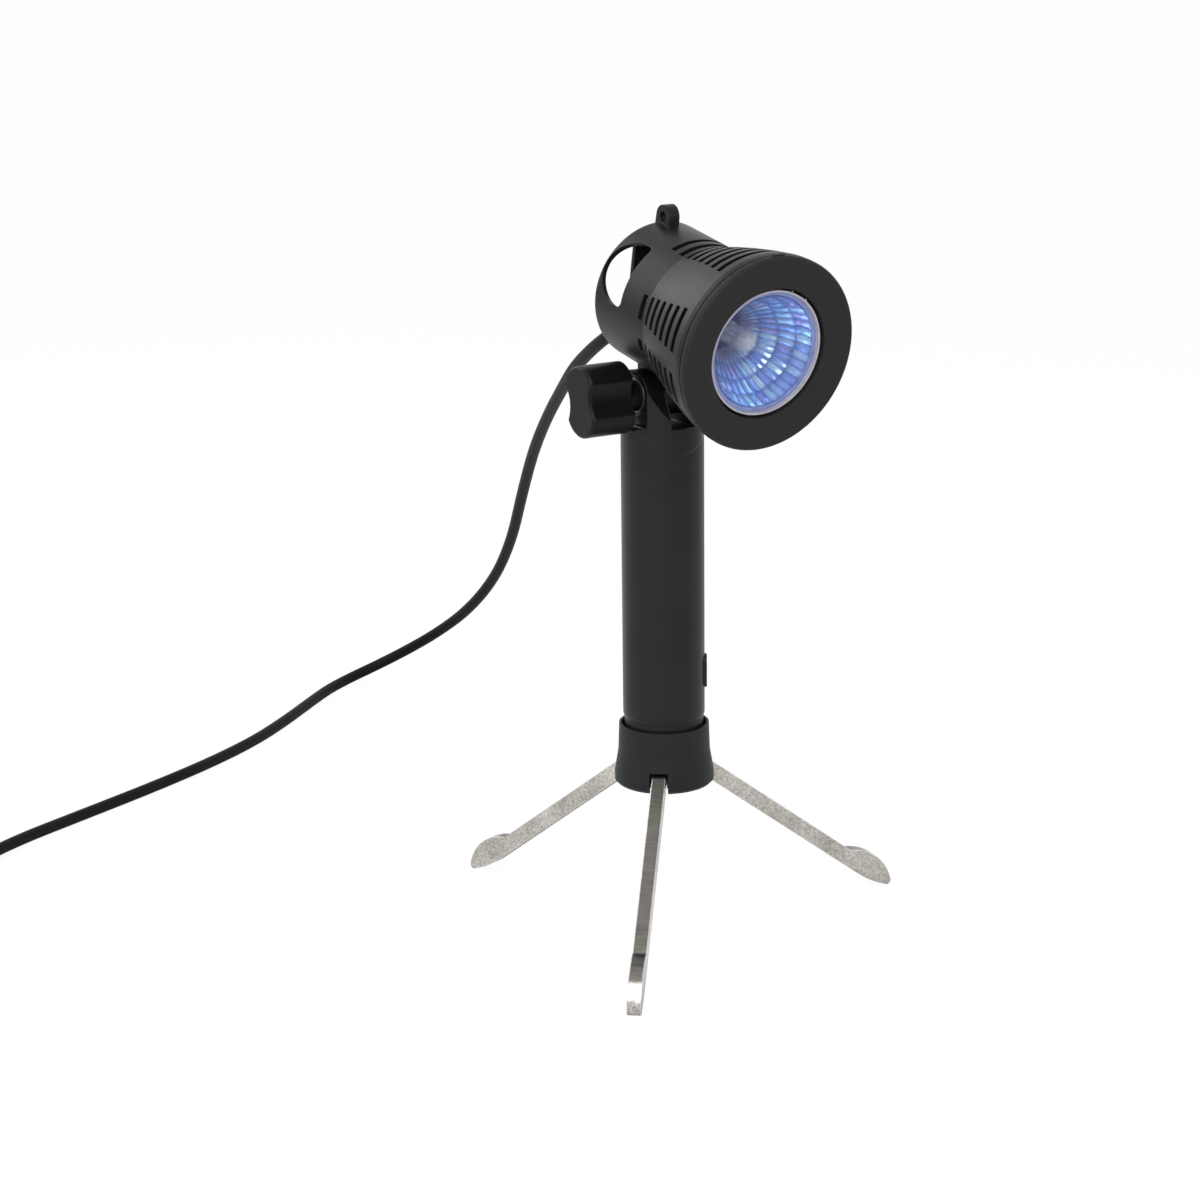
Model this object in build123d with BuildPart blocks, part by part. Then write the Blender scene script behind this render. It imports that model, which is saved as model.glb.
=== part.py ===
from build123d import *
import os
from math import atan2, cos, degrees, hypot, pi, radians, sin, sqrt, tan

os.makedirs("parts", exist_ok=True)

# A small table lamp for product photographs. The head shines towards -Y, the post stands on Z,
# the floor is z = 0 and the clamp knob is on the -X side. All sizes are in millimetres.

# Running gaps and fits
MOVING_GAP = 0.3
PLAY = 0.05
SLIP = 0.1
PIN_FIT = 0.01

# The tilt axis and where the lamp stands to it
TILT_HEIGHT = 230.0
HEAD_TILT = 11.0
PIVOT_BACK = 70.0
PIVOT_DROP = 10.8

# The head's shell
SHELL_RADIUS = 29.2
SHELL_WALL = 2.2
SHELL_BACK = 84.0
SHELL_REAR_ROUND = 3.0
REAR_WALL = 2.0
REAR_BAR_HALF = 12.0
MOUTH_LAND = 2.4
FLARE_BACK = 46.0
FLARE_BULGE = 0.8
LAMP_RISE = SHELL_RADIUS + PIVOT_DROP

# The cooling slits round the shell
SLIT_WIDTH = 2.9
SLIT_PITCH = 6.15
SLIT_COUNT = 7
SLIT_FIRST_BACK = 11.8
TOP_SLIT_HALF = 32.7
SIDE_SLIT_START = 61.0
SIDE_SLIT_END = 88.0
LOW_SLIT_START = 100.5
LOW_SLIT_END = 122.0
SLIT_GROUP_TAPER = 7.5

# The D-shaped windows at the rear of the shell
WINDOW_CLOCK = 60.5
WINDOW_FRONT_BACK = 63.4
WINDOW_REAR_BACK = 81.8
WINDOW_HALF = 13.4
WINDOW_CORNER = 2.5

# The hanging loop on top
LOOP_THICK = 4.8
LOOP_BACK = 78.8
LOOP_RADIUS = 4.9
LOOP_RISE = 2.8
LOOP_FOOT_HALF = 5.1
LOOP_HOLE_RADIUS = 2.25

# The tilt lug under the shell and the fork that holds it
CHEEK_RADIUS = PIVOT_DROP - SLIP
LUG_RADIUS = CHEEK_RADIUS - 1.2
LUG_FOOT_HALF = LUG_RADIUS + 2.5
LUG_HALF = 5.7
BOLT_RADIUS = 2.5
BOLT_HEAD_FLATS = 8.0
BOLT_HEAD_THICK = 3.5
CHEEK_INSET = 3.25
CHEEK_SHOULDER_DROP = 11.0
SADDLE_CLEAR = 3.0
WASHER_RADIUS = 7.2
WASHER_THICK = 1.0
POCKET_RADIUS = WASHER_RADIUS + 1.0
POCKET_DEPTH = 1.5
VAULT_RADIUS = 22.0
VAULT_DROP = 14.8
YOKE_PLUG_LENGTH = 18.0

# The front ring
RING_RADIUS = 39.5
RING_STEP = 0.2
RING_PLATE = 2.0
RING_DISH = 1.2
RING_ROUND = 1.6
RING_LIP_DEPTH = 6.0
RING_LIP_WALL = 1.6
RING_GROOVE = 0.8
SPIGOT_WALL = 1.8
CATCH_WIDTH = 5.0
CATCH_RISE = 0.5
CATCH_LENGTH = 1.4

# The reflector lamp
LAMP_RADIUS = 25.4
LAMP_CLEAR = 1.1
LAMP_FRONT_BACK = 2.6
RIM_THICK = 2.1
RIM_WALL = 0.8
GLASS_THICK = 1.6
REFLECTOR_WALL = 1.7
REFLECTOR_WAIST = LAMP_RADIUS - 5.6
REFLECTOR_WAIST_BACK = 18.0
NECK_RADIUS = 10.6
NECK_BACK = 33.5
NECK_END_BACK = 38.0
NECK_BORE = 7.0
CAPSULE_RADIUS = 4.6
CAPSULE_WALL = 0.8
CAPSULE_FRONT_BACK = 13.0
CAPSULE_END_BACK = 30.0
PINCH_WIDTH = 8.0
PINCH_THICK = 3.0
PINCH_END_BACK = 42.0
FILAMENT_RADIUS = 0.35
FILAMENT_HALF = 2.2
BASE_RADIUS = 12.4
BASE_END_BACK = 50.0
PIN_SPACING = 10.0
PIN_SHANK_RADIUS = 1.5
PIN_HEAD_RADIUS = 2.5
PIN_HEAD_THICK = 2.2
PIN_LENGTH = 7.0
LAMP_TWIST = 25.0

# The lamp holder and what carries it
HOLDER_RADIUS = 13.0
HOLDER_PLATE = 2.2
HOLDER_LENGTH = 12.0
HOLDER_FLOOR = 1.2
HOLDER_CAVITY_RADIUS = 8.8
HOLDER_CAVITY_CORE = 1.6
KEYHOLE_CLEAR = 0.35
CONTACT_THICK = 0.6
STRAP_HALF = 6.0
STRAP_THICK = 1.0
BOSS_INSET = 6.5
BOSS_RADIUS = 4.0
SCREW_RADIUS = 1.25
SCREW_HEAD_RADIUS = 2.6
SCREW_HEAD_THICK = 1.6
SCREW_DEPTH = 9.0
HOLDER_SCREW_OFFSET = 10.25
WIRE_RADIUS = 0.9
WIRE_BEND = 1.6
WIRE_OFFSET = 8.4
TERMINAL_HALF = 9.0
TERMINAL_HEIGHT = 10.0
TERMINAL_DEPTH = 8.0

# The cord's grip, which droops behind the head
CORD_RADIUS = 2.8
CORD_BOSS_CLEAR = 1.7
CORD_BEND = 20.0
CORD_STUB = 5.0
CORE_RADIUS = 1.0
CORE_SPREAD = 1.2
GRIP_FLANGE_RADIUS = 6.4
GRIP_FLANGE_THICK = 2.0
GRIP_SLEEVE_RADIUS = 4.4
GRIP_ROOT_RADIUS = 5.4
GRIP_TIP_RADIUS = 3.7
GRIP_ELBOW = 4.0
GRIP_REACH = 17.0
GRIP_DROOP = 38.0

# The free cord: where it runs from the grip to the floor and out to its coil, points chosen by hand
CORD_FIRST_RUN = 14.0
CORD_POINTS = [
    (4, 62, 238),
    (11, 87, 226),
    (23, 117, 211),
    (38, 151, 191),
    (54, 190, 166),
    (70, 230, 135),
    (83, 267, 103),
    (91, 301, 74),
    (93, 334, 49),
    (89, 361, 31),
    (80, 380, 18),
    (66, 390, 9),
    (49, 391, 4),
    (31, 382, 2.8),
    (11, 365, 2.8),
    (-14, 343, 2.8),
    (-43, 320, 2.8),
    (-78, 299, 2.8),
    (-119, 279, 2.8),
    (-165, 259, 2.8),
    (-203, 240, 3.9),
    (-235, 220, 3.9),
]
CORD_ARC_SHARE = 0.45

# The put-away length: a flat coil of two layers, its tie, and a short tail to the plug
COIL_MEAN_RADIUS = 30.8
COIL_PITCH = 6.25
COIL_LAYER = 6.05
COIL_QUARTERS = 18
COIL_SAMPLES = 800
TIE_BAND = 0.8
TIE_WIDTH = 7.0
TIE_CLEAR = 0.45
TIE_QUARTER = 3
TAIL_RUN = 12.0
TAIL_RUNS = 4
TAIL_TURN = 12.0

# The flat mains plug
PLUG_THICK = 14.0
PLUG_WIDE = 34.0
PLUG_NARROW = 15.0
PLUG_LENGTH = 34.0
PLUG_WIDE_FROM = 20.4
PLUG_NECK_LENGTH = 20.0
PLUG_NECK_TIP = 3.9
PLUG_NECK_ROOT = 5.6
PLUG_ROUND = 2.5
PLUG_PIN_RADIUS = 2.0
PLUG_PIN_LENGTH = 19.0
PLUG_PIN_SPACING = 18.6
PLUG_PIN_ROOT = 6.0

# The clamp knob
KNOB_GAP = 6.0
KNOB_LENGTH = 20.0
KNOB_TALL = 29.5
KNOB_WIDE = 21.5
KNOB_WAIST_HALF = 8.0
KNOB_FLUTE_RADIUS = 11.0
KNOB_CHAMFER = 0.9
KNOB_TURN = -8.0
HUB_RADIUS = 6.4
INSERT_RADIUS = 4.4
INSERT_LENGTH = 12.0
BOLT_SPARE = 4.2

# The post
POST_RADIUS = 17.25
POST_WALL = 2.0
POST_NECK_STEP = 0.65
POST_NECK_RISE = 2.4
POST_TAPER = 2.5
PAD_RISE_FROM_COLLAR = 22.4
PAD_LENGTH = 14.5
PAD_WIDTH = 7.0
PAD_RISE = 0.9
PAD_CLOCK = 57.0
POST_PLUG_LENGTH = 12.0

# The tripod base
COLLAR_DROP = 9.5
COLLAR_HEIGHT = 25.9
COLLAR_GAP = 1.3
COLLAR_LIP = 1.1
COLLAR_SWELL = 0.4
COLLAR_FLARE = 2.0
COLLAR_FLARE_START = 14.3
COLLAR_FLARE_END = 4.8
COLLAR_CHAMFER = 1.2
CARRIER_INSET = 1.8
CARRIER_HEIGHT = 15.5
CARRIER_CORE = 5.8
SWIVEL_HEAD_RADIUS = 4.5
SWIVEL_HEAD_THICK = 2.7
SWIVEL_DEPTH = 10.0

# The three folding legs
LEG_CLOCK = -40.0
LEG_COUNT = 3
LEG_SLOPE = 37.0
LEG_PIVOT_RADIUS = 11.0
LEG_LENGTH = 118.0
LEG_WIDTH = 5.6
LEG_SHEET = 0.8
LEG_WEB_RISE = 3.4
LEG_FLANGE_DROP = 3.5
FOOT_LENGTH = 24.6
FOOT_HUMP_BACK = 17.0
FOOT_HUMP_RISE = 6.8
FOOT_HEEL_BACK = 15.0
FOOT_TIP_RISE = 1.0
FOOT_TIP_RADIUS = 2.0
LEG_PIN_RADIUS = 1.25
LEG_PIN_HALF = 6.0
LEG_SIDE_CLEAR = 0.4
NOTCH_CLEAR = 1.1

# Planes and axes that several pieces share
tilt = radians(HEAD_TILT)
forward = Vector(0, -cos(tilt), -sin(tilt))
head_up = Vector(0, -sin(tilt), cos(tilt))
sideways = Vector(1, 0, 0)
tilt_centre = Vector(0, 0, TILT_HEIGHT)
ring_centre = tilt_centre + forward * PIVOT_BACK + head_up * LAMP_RISE
lamp_axis = Axis(ring_centre, forward)
# Local x runs out from the lamp's axis towards the head's top, local y runs forwards.
head_section = Plane(origin=ring_centre, x_dir=head_up, z_dir=sideways)


def across(back):
    """A plane square to the lamp's axis, that far behind the front ring, facing forwards."""
    return Plane(origin=ring_centre - forward * back, x_dir=sideways, z_dir=forward)


def head_point(aside, up, back):
    """A point of the head, from its place across, above and behind the front ring's centre."""
    return ring_centre + sideways * aside + head_up * up - forward * back


# Sizes and places that follow from the driving ones
SHELL_BORE = SHELL_RADIUS - SHELL_WALL
MOUTH_RADIUS = RING_RADIUS - RING_STEP
MOUTH_BORE = MOUTH_RADIUS - SHELL_WALL
RING_BORE = LAMP_RADIUS + LAMP_CLEAR
RING_DEPTH = RING_DISH + RING_PLATE
SHELL_FRONT = RING_DEPTH + RING_GROOVE
MOUTH_END = SHELL_FRONT + MOUTH_LAND
HOLDER_FRONT = BASE_END_BACK + MOVING_GAP
HOLDER_END = HOLDER_FRONT + HOLDER_LENGTH
HOLDER_CAVITY_DEPTH = PIN_LENGTH + CONTACT_THICK
HOLDER_BLIND = HOLDER_LENGTH - HOLDER_CAVITY_DEPTH - HOLDER_FLOOR
STRAP_END = HOLDER_END + STRAP_THICK
BOSS_OFFSET = SHELL_BORE - BOSS_INSET
CORD_DROP = BOSS_OFFSET - BOSS_RADIUS - CORD_RADIUS - CORD_BOSS_CLEAR
REAR_INNER = SHELL_BACK - REAR_WALL
POST_BORE = POST_RADIUS - POST_WALL
POST_NECK_RADIUS = POST_RADIUS - POST_NECK_STEP
CHEEK_HALF = POST_RADIUS - CHEEK_INSET
CHEEK_SHOULDER = TILT_HEIGHT - CHEEK_SHOULDER_DROP
SADDLE_TOP = TILT_HEIGHT - LUG_RADIUS - SADDLE_CLEAR
VAULT_TOP = TILT_HEIGHT - VAULT_DROP
VAULT_CENTRE = VAULT_TOP - VAULT_RADIUS
slope = radians(LEG_SLOPE)
PIVOT_HEIGHT = LEG_LENGTH * sin(slope) - FOOT_TIP_RISE * cos(slope) + FOOT_TIP_RADIUS
COLLAR_BOTTOM = PIVOT_HEIGHT - COLLAR_DROP
COLLAR_TOP = COLLAR_BOTTOM + COLLAR_HEIGHT
COLLAR_BORE = POST_NECK_RADIUS + COLLAR_GAP
COLLAR_TOP_RADIUS = COLLAR_BORE + COLLAR_LIP
CARRIER_BOTTOM = COLLAR_BOTTOM + CARRIER_INSET
CARRIER_TOP = CARRIER_BOTTOM + CARRIER_HEIGHT
POST_BOTTOM = CARRIER_TOP + MOVING_GAP

# The moulded head shell: a tube that flares to its mouth, with a rear bar, a loop and a tilt lug
flare_middle = -(FLARE_BACK + MOUTH_END) / 2
flare_half_out = (SHELL_RADIUS + MOUTH_RADIUS) / 2 + FLARE_BULGE
with BuildPart() as head_shell:
    with BuildSketch(head_section):
        with BuildLine():
            Line((0, -SHELL_BACK), (SHELL_RADIUS - SHELL_REAR_ROUND, -SHELL_BACK))
            TangentArc(
                (SHELL_RADIUS - SHELL_REAR_ROUND, -SHELL_BACK),
                (SHELL_RADIUS, SHELL_REAR_ROUND - SHELL_BACK),
                tangent=(1, 0),
            )
            Line((SHELL_RADIUS, SHELL_REAR_ROUND - SHELL_BACK), (SHELL_RADIUS, -FLARE_BACK))
            ThreePointArc(
                (SHELL_RADIUS, -FLARE_BACK),
                (flare_half_out, flare_middle),
                (MOUTH_RADIUS, -MOUTH_END),
            )
            Line((MOUTH_RADIUS, -MOUTH_END), (MOUTH_RADIUS, -SHELL_FRONT))
            Line((MOUTH_RADIUS, -SHELL_FRONT), (MOUTH_BORE, -SHELL_FRONT))
            Line((MOUTH_BORE, -SHELL_FRONT), (MOUTH_BORE, -MOUTH_END))
            ThreePointArc(
                (MOUTH_BORE, -MOUTH_END),
                (flare_half_out - SHELL_WALL, flare_middle),
                (SHELL_BORE, -FLARE_BACK),
            )
            Line((SHELL_BORE, -FLARE_BACK), (SHELL_BORE, -REAR_INNER))
            Line((SHELL_BORE, -REAR_INNER), (0, -REAR_INNER))
            Line((0, -REAR_INNER), (0, -SHELL_BACK))
        make_face()
    revolve(axis=lamp_axis)
    # The open quarters at the rear, each side of the bar
    with BuildSketch(across(SHELL_BACK)):
        Circle(SHELL_BORE)
        Rectangle(2 * REAR_BAR_HALF, 2 * SHELL_RADIUS, mode=Mode.SUBTRACT)
    extrude(amount=REAR_WALL, mode=Mode.SUBTRACT)
    # The D-shaped windows
    for side in (-1, 1):
        clock = radians(WINDOW_CLOCK)
        window_out = sideways * (side * sin(clock)) + head_up * cos(clock)
        window_plane = Plane(origin=ring_centre + window_out * SHELL_BORE, x_dir=forward, z_dir=window_out)
        with BuildSketch(window_plane) as window_outline:
            with BuildLine():
                Line((-WINDOW_FRONT_BACK, -WINDOW_HALF), (-WINDOW_FRONT_BACK, WINDOW_HALF))
                Line((-WINDOW_FRONT_BACK, WINDOW_HALF), (WINDOW_HALF - WINDOW_REAR_BACK, WINDOW_HALF))
                ThreePointArc(
                    (WINDOW_HALF - WINDOW_REAR_BACK, WINDOW_HALF),
                    (-WINDOW_REAR_BACK, 0),
                    (WINDOW_HALF - WINDOW_REAR_BACK, -WINDOW_HALF),
                )
                Line((WINDOW_HALF - WINDOW_REAR_BACK, -WINDOW_HALF), (-WINDOW_FRONT_BACK, -WINDOW_HALF))
            make_face()
            front_corners = window_outline.vertices().sort_by(Axis.X)[-2:]
            fillet(front_corners, WINDOW_CORNER)
        extrude(amount=SHELL_WALL * 4, both=True, mode=Mode.SUBTRACT)
    # The cooling slits, in five groups that grow narrower to the rear; the top group has one more
    for row in range(SLIT_COUNT + 1):
        back = SLIT_FIRST_BACK + row * SLIT_PITCH
        taper = SLIT_GROUP_TAPER * row / SLIT_COUNT
        groups = [(90 - TOP_SLIT_HALF + taper, 90 + TOP_SLIT_HALF - taper)]
        if row < SLIT_COUNT:
            for side in (-1, 1):
                groups.append((90 + side * (SIDE_SLIT_START + taper), 90 + side * SIDE_SLIT_END))
                groups.append((90 + side * (LOW_SLIT_START + taper / 2), 90 + side * (LOW_SLIT_END - taper)))
        with BuildSketch(across(back + SLIT_WIDTH / 2)):
            for start, end in groups:
                with BuildLine():
                    low = CenterArc((0, 0), SHELL_BORE - SHELL_WALL, start, end - start)
                    top = CenterArc((0, 0), MOUTH_RADIUS + SHELL_WALL, start, end - start)
                    Line(low @ 0, top @ 0)
                    Line(low @ 1, top @ 1)
                make_face()
        extrude(amount=SLIT_WIDTH, mode=Mode.SUBTRACT)
    # The bosses for the lamp holder's strap, in front of the bar
    with BuildSketch(across(REAR_INNER)):
        with Locations((0, BOSS_OFFSET), (0, -BOSS_OFFSET)):
            Circle(BOSS_RADIUS)
    extrude(amount=REAR_INNER - STRAP_END)
    with BuildSketch(across(STRAP_END + SCREW_DEPTH)):
        with Locations((0, BOSS_OFFSET), (0, -BOSS_OFFSET)):
            Circle(SCREW_RADIUS)
    extrude(amount=SCREW_DEPTH, mode=Mode.SUBTRACT)
    # The hanging loop
    with BuildSketch(head_section):
        with BuildLine():
            loop_middle = SHELL_RADIUS + LOOP_RISE
            ThreePointArc(
                (loop_middle, LOOP_RADIUS - LOOP_BACK),
                (loop_middle + LOOP_RADIUS, -LOOP_BACK),
                (loop_middle, -LOOP_RADIUS - LOOP_BACK),
            )
            Polyline(
                (loop_middle, -LOOP_RADIUS - LOOP_BACK),
                (SHELL_BORE + SHELL_WALL / 2, -LOOP_FOOT_HALF - LOOP_BACK),
                (SHELL_BORE + SHELL_WALL / 2, LOOP_FOOT_HALF - LOOP_BACK),
                (loop_middle, LOOP_RADIUS - LOOP_BACK),
            )
        make_face()
    extrude(amount=LOOP_THICK / 2, both=True)
    # The tilt lug
    with BuildSketch(head_section):
        with Locations((-LAMP_RISE, -PIVOT_BACK)):
            Circle(LUG_RADIUS)
        with BuildLine():
            Polyline(
                (-LAMP_RISE, LUG_RADIUS - PIVOT_BACK),
                (-SHELL_BORE - SHELL_WALL / 2, LUG_FOOT_HALF - PIVOT_BACK),
                (-SHELL_BORE - SHELL_WALL / 2, -LUG_FOOT_HALF - PIVOT_BACK),
                (-LAMP_RISE, -LUG_RADIUS - PIVOT_BACK),
                close=True,
            )
        make_face()
    extrude(amount=LUG_HALF, both=True)
    with BuildSketch(head_section):
        with Locations((-LAMP_RISE, -PIVOT_BACK)):
            Circle(BOLT_RADIUS + PLAY)
        with Locations((SHELL_RADIUS + LOOP_RISE, -LOOP_BACK)):
            Circle(LOOP_HOLE_RADIUS)
    extrude(amount=LUG_HALF + PLAY, both=True, mode=Mode.SUBTRACT)
    # The cord's hole through the bar
    with BuildSketch(across(SHELL_BACK)):
        with Locations((0, -CORD_DROP)):
            Circle(GRIP_SLEEVE_RADIUS)
    extrude(amount=REAR_WALL, mode=Mode.SUBTRACT)
head_shell.part.label = "head_shell"
export_step(head_shell.part, "parts/head_shell.step")

# The flat front ring, whose spigot plugs into the shell's mouth
with BuildPart() as front_ring:
    spigot_radius = MOUTH_BORE - SLIP
    with BuildSketch(head_section):
        with BuildLine():
            Line((RING_BORE, -RING_DISH), (RING_RADIUS - RING_ROUND, 0))
            ThreePointArc(
                (RING_RADIUS - RING_ROUND, 0),
                (RING_RADIUS - RING_ROUND * (1 - sin(pi / 4)), -RING_ROUND * (1 - cos(pi / 4))),
                (RING_RADIUS, -RING_ROUND),
            )
            Polyline(
                (RING_RADIUS, -RING_ROUND),
                (RING_RADIUS, -RING_DEPTH),
                (spigot_radius, -RING_DEPTH),
                (spigot_radius, MOVING_GAP - MOUTH_END),
                (spigot_radius - SPIGOT_WALL, MOVING_GAP - MOUTH_END),
                (spigot_radius - SPIGOT_WALL, -RING_DEPTH),
                (RING_BORE + RING_LIP_WALL, -RING_DEPTH),
                (RING_BORE + RING_LIP_WALL, -RING_LIP_DEPTH),
                (RING_BORE, -RING_LIP_DEPTH),
                (RING_BORE, -RING_DISH),
            )
        make_face()
    revolve(axis=lamp_axis)
    # The small catch on the ring's edge
    with BuildSketch(head_section):
        with Locations((RING_RADIUS, CATCH_LENGTH / 2 - RING_DEPTH)):
            Rectangle(2 * CATCH_RISE, CATCH_LENGTH)
    extrude(amount=CATCH_WIDTH / 2, both=True)
front_ring.part.label = "front_ring"
export_step(front_ring.part, "parts/front_ring.step")

# The lamp's glass reflector with its rim
with BuildPart() as lamp_reflector:
    rim_end = LAMP_FRONT_BACK + RIM_THICK
    seat_radius = LAMP_RADIUS - RIM_WALL
    with BuildSketch(head_section):
        with BuildLine():
            Polyline(
                (seat_radius, -LAMP_FRONT_BACK),
                (LAMP_RADIUS, -LAMP_FRONT_BACK),
                (LAMP_RADIUS, -rim_end),
                (seat_radius, -rim_end),
            )
            ThreePointArc(
                (seat_radius, -rim_end),
                (REFLECTOR_WAIST, -REFLECTOR_WAIST_BACK),
                (NECK_RADIUS, -NECK_BACK),
            )
            Polyline(
                (NECK_RADIUS, -NECK_BACK),
                (NECK_RADIUS, -NECK_END_BACK),
                (NECK_BORE, -NECK_END_BACK),
                (NECK_BORE, -NECK_BACK + REFLECTOR_WALL),
            )
            ThreePointArc(
                (NECK_BORE, -NECK_BACK + REFLECTOR_WALL),
                (REFLECTOR_WAIST - REFLECTOR_WALL, -REFLECTOR_WAIST_BACK + REFLECTOR_WALL / 2),
                (seat_radius - REFLECTOR_WALL, -LAMP_FRONT_BACK - GLASS_THICK - PLAY),
            )
            Polyline(
                (seat_radius - REFLECTOR_WALL, -LAMP_FRONT_BACK - GLASS_THICK - PLAY),
                (seat_radius, -LAMP_FRONT_BACK - GLASS_THICK - PLAY),
                (seat_radius, -LAMP_FRONT_BACK),
            )
        make_face()
    revolve(axis=lamp_axis)
lamp_reflector.part.label = "lamp_reflector"
export_step(lamp_reflector.part, "parts/lamp_reflector.step")

# The lamp's cover glass, seated in the reflector's rim
with BuildPart() as lamp_front_glass:
    with BuildSketch(across(LAMP_FRONT_BACK + GLASS_THICK)):
        Circle(LAMP_RADIUS - RIM_WALL - PLAY)
    extrude(amount=GLASS_THICK)
lamp_front_glass.part.label = "lamp_front_glass"
export_step(lamp_front_glass.part, "parts/lamp_front_glass.step")

# The quartz capsule, domed in front and pinched flat behind
with BuildPart() as lamp_capsule:
    inner = CAPSULE_RADIUS - CAPSULE_WALL
    dome = CAPSULE_FRONT_BACK + CAPSULE_RADIUS
    with BuildSketch(head_section):
        with BuildLine():
            ThreePointArc(
                (0, -CAPSULE_FRONT_BACK),
                (CAPSULE_RADIUS * sin(pi / 4), -dome + CAPSULE_RADIUS * cos(pi / 4)),
                (CAPSULE_RADIUS, -dome),
            )
            Polyline(
                (CAPSULE_RADIUS, -dome),
                (CAPSULE_RADIUS, -CAPSULE_END_BACK),
                (0, -CAPSULE_END_BACK),
                (0, -CAPSULE_END_BACK + CAPSULE_WALL),
                (inner, -CAPSULE_END_BACK + CAPSULE_WALL),
                (inner, -dome),
            )
            ThreePointArc(
                (inner, -dome),
                (inner * sin(pi / 4), -dome + inner * cos(pi / 4)),
                (0, -CAPSULE_FRONT_BACK - CAPSULE_WALL),
            )
            Line((0, -CAPSULE_FRONT_BACK - CAPSULE_WALL), (0, -CAPSULE_FRONT_BACK))
        make_face()
    revolve(axis=lamp_axis)
    with BuildSketch(across(PINCH_END_BACK)):
        Rectangle(PINCH_WIDTH, PINCH_THICK)
    extrude(amount=PINCH_END_BACK - CAPSULE_END_BACK)
lamp_capsule.part.label = "lamp_capsule"
export_step(lamp_capsule.part, "parts/lamp_capsule.step")

# The filament stands on the pinch as one bent wire
with BuildPart() as lamp_filament:
    foot = CAPSULE_END_BACK - CAPSULE_WALL
    head = dome + FILAMENT_RADIUS
    with BuildLine() as filament_path:
        FilletPolyline(
            head_point(-FILAMENT_HALF, 0, foot),
            head_point(-FILAMENT_HALF, 0, head),
            head_point(FILAMENT_HALF, 0, head),
            head_point(FILAMENT_HALF, 0, foot),
            radius=FILAMENT_HALF / 2,
        )
    with BuildSketch(Plane(origin=filament_path.line @ 0, z_dir=filament_path.line % 0)):
        Circle(FILAMENT_RADIUS)
    sweep(path=filament_path.line)
lamp_filament.part.label = "lamp_filament"
export_step(lamp_filament.part, "parts/lamp_filament.step")

# The lamp's ceramic base, cemented round the reflector's neck
with BuildPart() as lamp_base:
    with BuildSketch(across(BASE_END_BACK)):
        Circle(BASE_RADIUS)
    extrude(amount=BASE_END_BACK - NECK_BACK - REFLECTOR_WALL)
    with BuildSketch(across(NECK_END_BACK + PLAY)):
        Circle(NECK_RADIUS + PLAY)
    extrude(amount=NECK_END_BACK - NECK_BACK, mode=Mode.SUBTRACT)
    with BuildSketch(across(PINCH_END_BACK + PLAY)):
        Rectangle(PINCH_WIDTH + 2 * PLAY, PINCH_THICK + 2 * PLAY)
    extrude(amount=PINCH_END_BACK - NECK_END_BACK, mode=Mode.SUBTRACT)
    chamfer(lamp_base.edges().filter_by(GeomType.CIRCLE).sort_by(lamp_axis)[0], RIM_WALL)
lamp_base.part.label = "lamp_base"
export_step(lamp_base.part, "parts/lamp_base.step")

# The two headed pins of the lamp
with BuildPart() as lamp_pins:
    with BuildSketch(across(BASE_END_BACK + PIN_LENGTH)):
        with Locations((PIN_SPACING / 2, 0), (-PIN_SPACING / 2, 0)):
            Circle(PIN_HEAD_RADIUS)
    extrude(amount=PIN_HEAD_THICK)
    with BuildSketch(across(BASE_END_BACK + PIN_LENGTH)):
        with Locations((PIN_SPACING / 2, 0), (-PIN_SPACING / 2, 0)):
            Circle(PIN_SHANK_RADIUS)
    extrude(amount=PIN_LENGTH)
lamp_pins.part.label = "lamp_pins"
export_step(lamp_pins.part, "parts/lamp_pins.step")

# The ceramic lamp holder: a cavity for the pin heads behind a plate with two keyholes
with BuildPart() as lamp_holder:
    with BuildSketch(across(HOLDER_END)):
        Circle(HOLDER_RADIUS)
    extrude(amount=HOLDER_LENGTH)
    with BuildSketch(across(HOLDER_FRONT + HOLDER_CAVITY_DEPTH)):
        Circle(HOLDER_CAVITY_RADIUS)
        Circle(HOLDER_CAVITY_CORE, mode=Mode.SUBTRACT)
    extrude(amount=HOLDER_CAVITY_DEPTH - HOLDER_PLATE, mode=Mode.SUBTRACT)
    for start in (0, 180):
        # The narrow way holds the pin's shank, its wide end lets the pin's head through
        with BuildSketch(across(HOLDER_FRONT + HOLDER_PLATE)):
            with PolarLocations(PIN_SPACING / 2, 2, start_angle=start, angular_range=LAMP_TWIST, endpoint=True):
                Circle(PIN_SHANK_RADIUS + KEYHOLE_CLEAR)
            make_hull()
        extrude(amount=HOLDER_PLATE, mode=Mode.SUBTRACT)
        with BuildSketch(across(HOLDER_FRONT + HOLDER_PLATE)):
            with PolarLocations(PIN_SPACING / 2, 1, start_angle=start + LAMP_TWIST):
                Circle(PIN_HEAD_RADIUS + KEYHOLE_CLEAR)
        extrude(amount=HOLDER_PLATE, mode=Mode.SUBTRACT)
    # Screw holes for the strap and holes for the two leads
    with BuildSketch(across(HOLDER_END)):
        with Locations((0, HOLDER_SCREW_OFFSET), (0, -HOLDER_SCREW_OFFSET)):
            Circle(SCREW_RADIUS)
        with Locations((WIRE_OFFSET, 0), (-WIRE_OFFSET, 0)):
            Circle(WIRE_RADIUS + PLAY)
    extrude(amount=HOLDER_BLIND, mode=Mode.SUBTRACT)
lamp_holder.part.label = "lamp_holder"
export_step(lamp_holder.part, "parts/lamp_holder.step")

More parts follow.
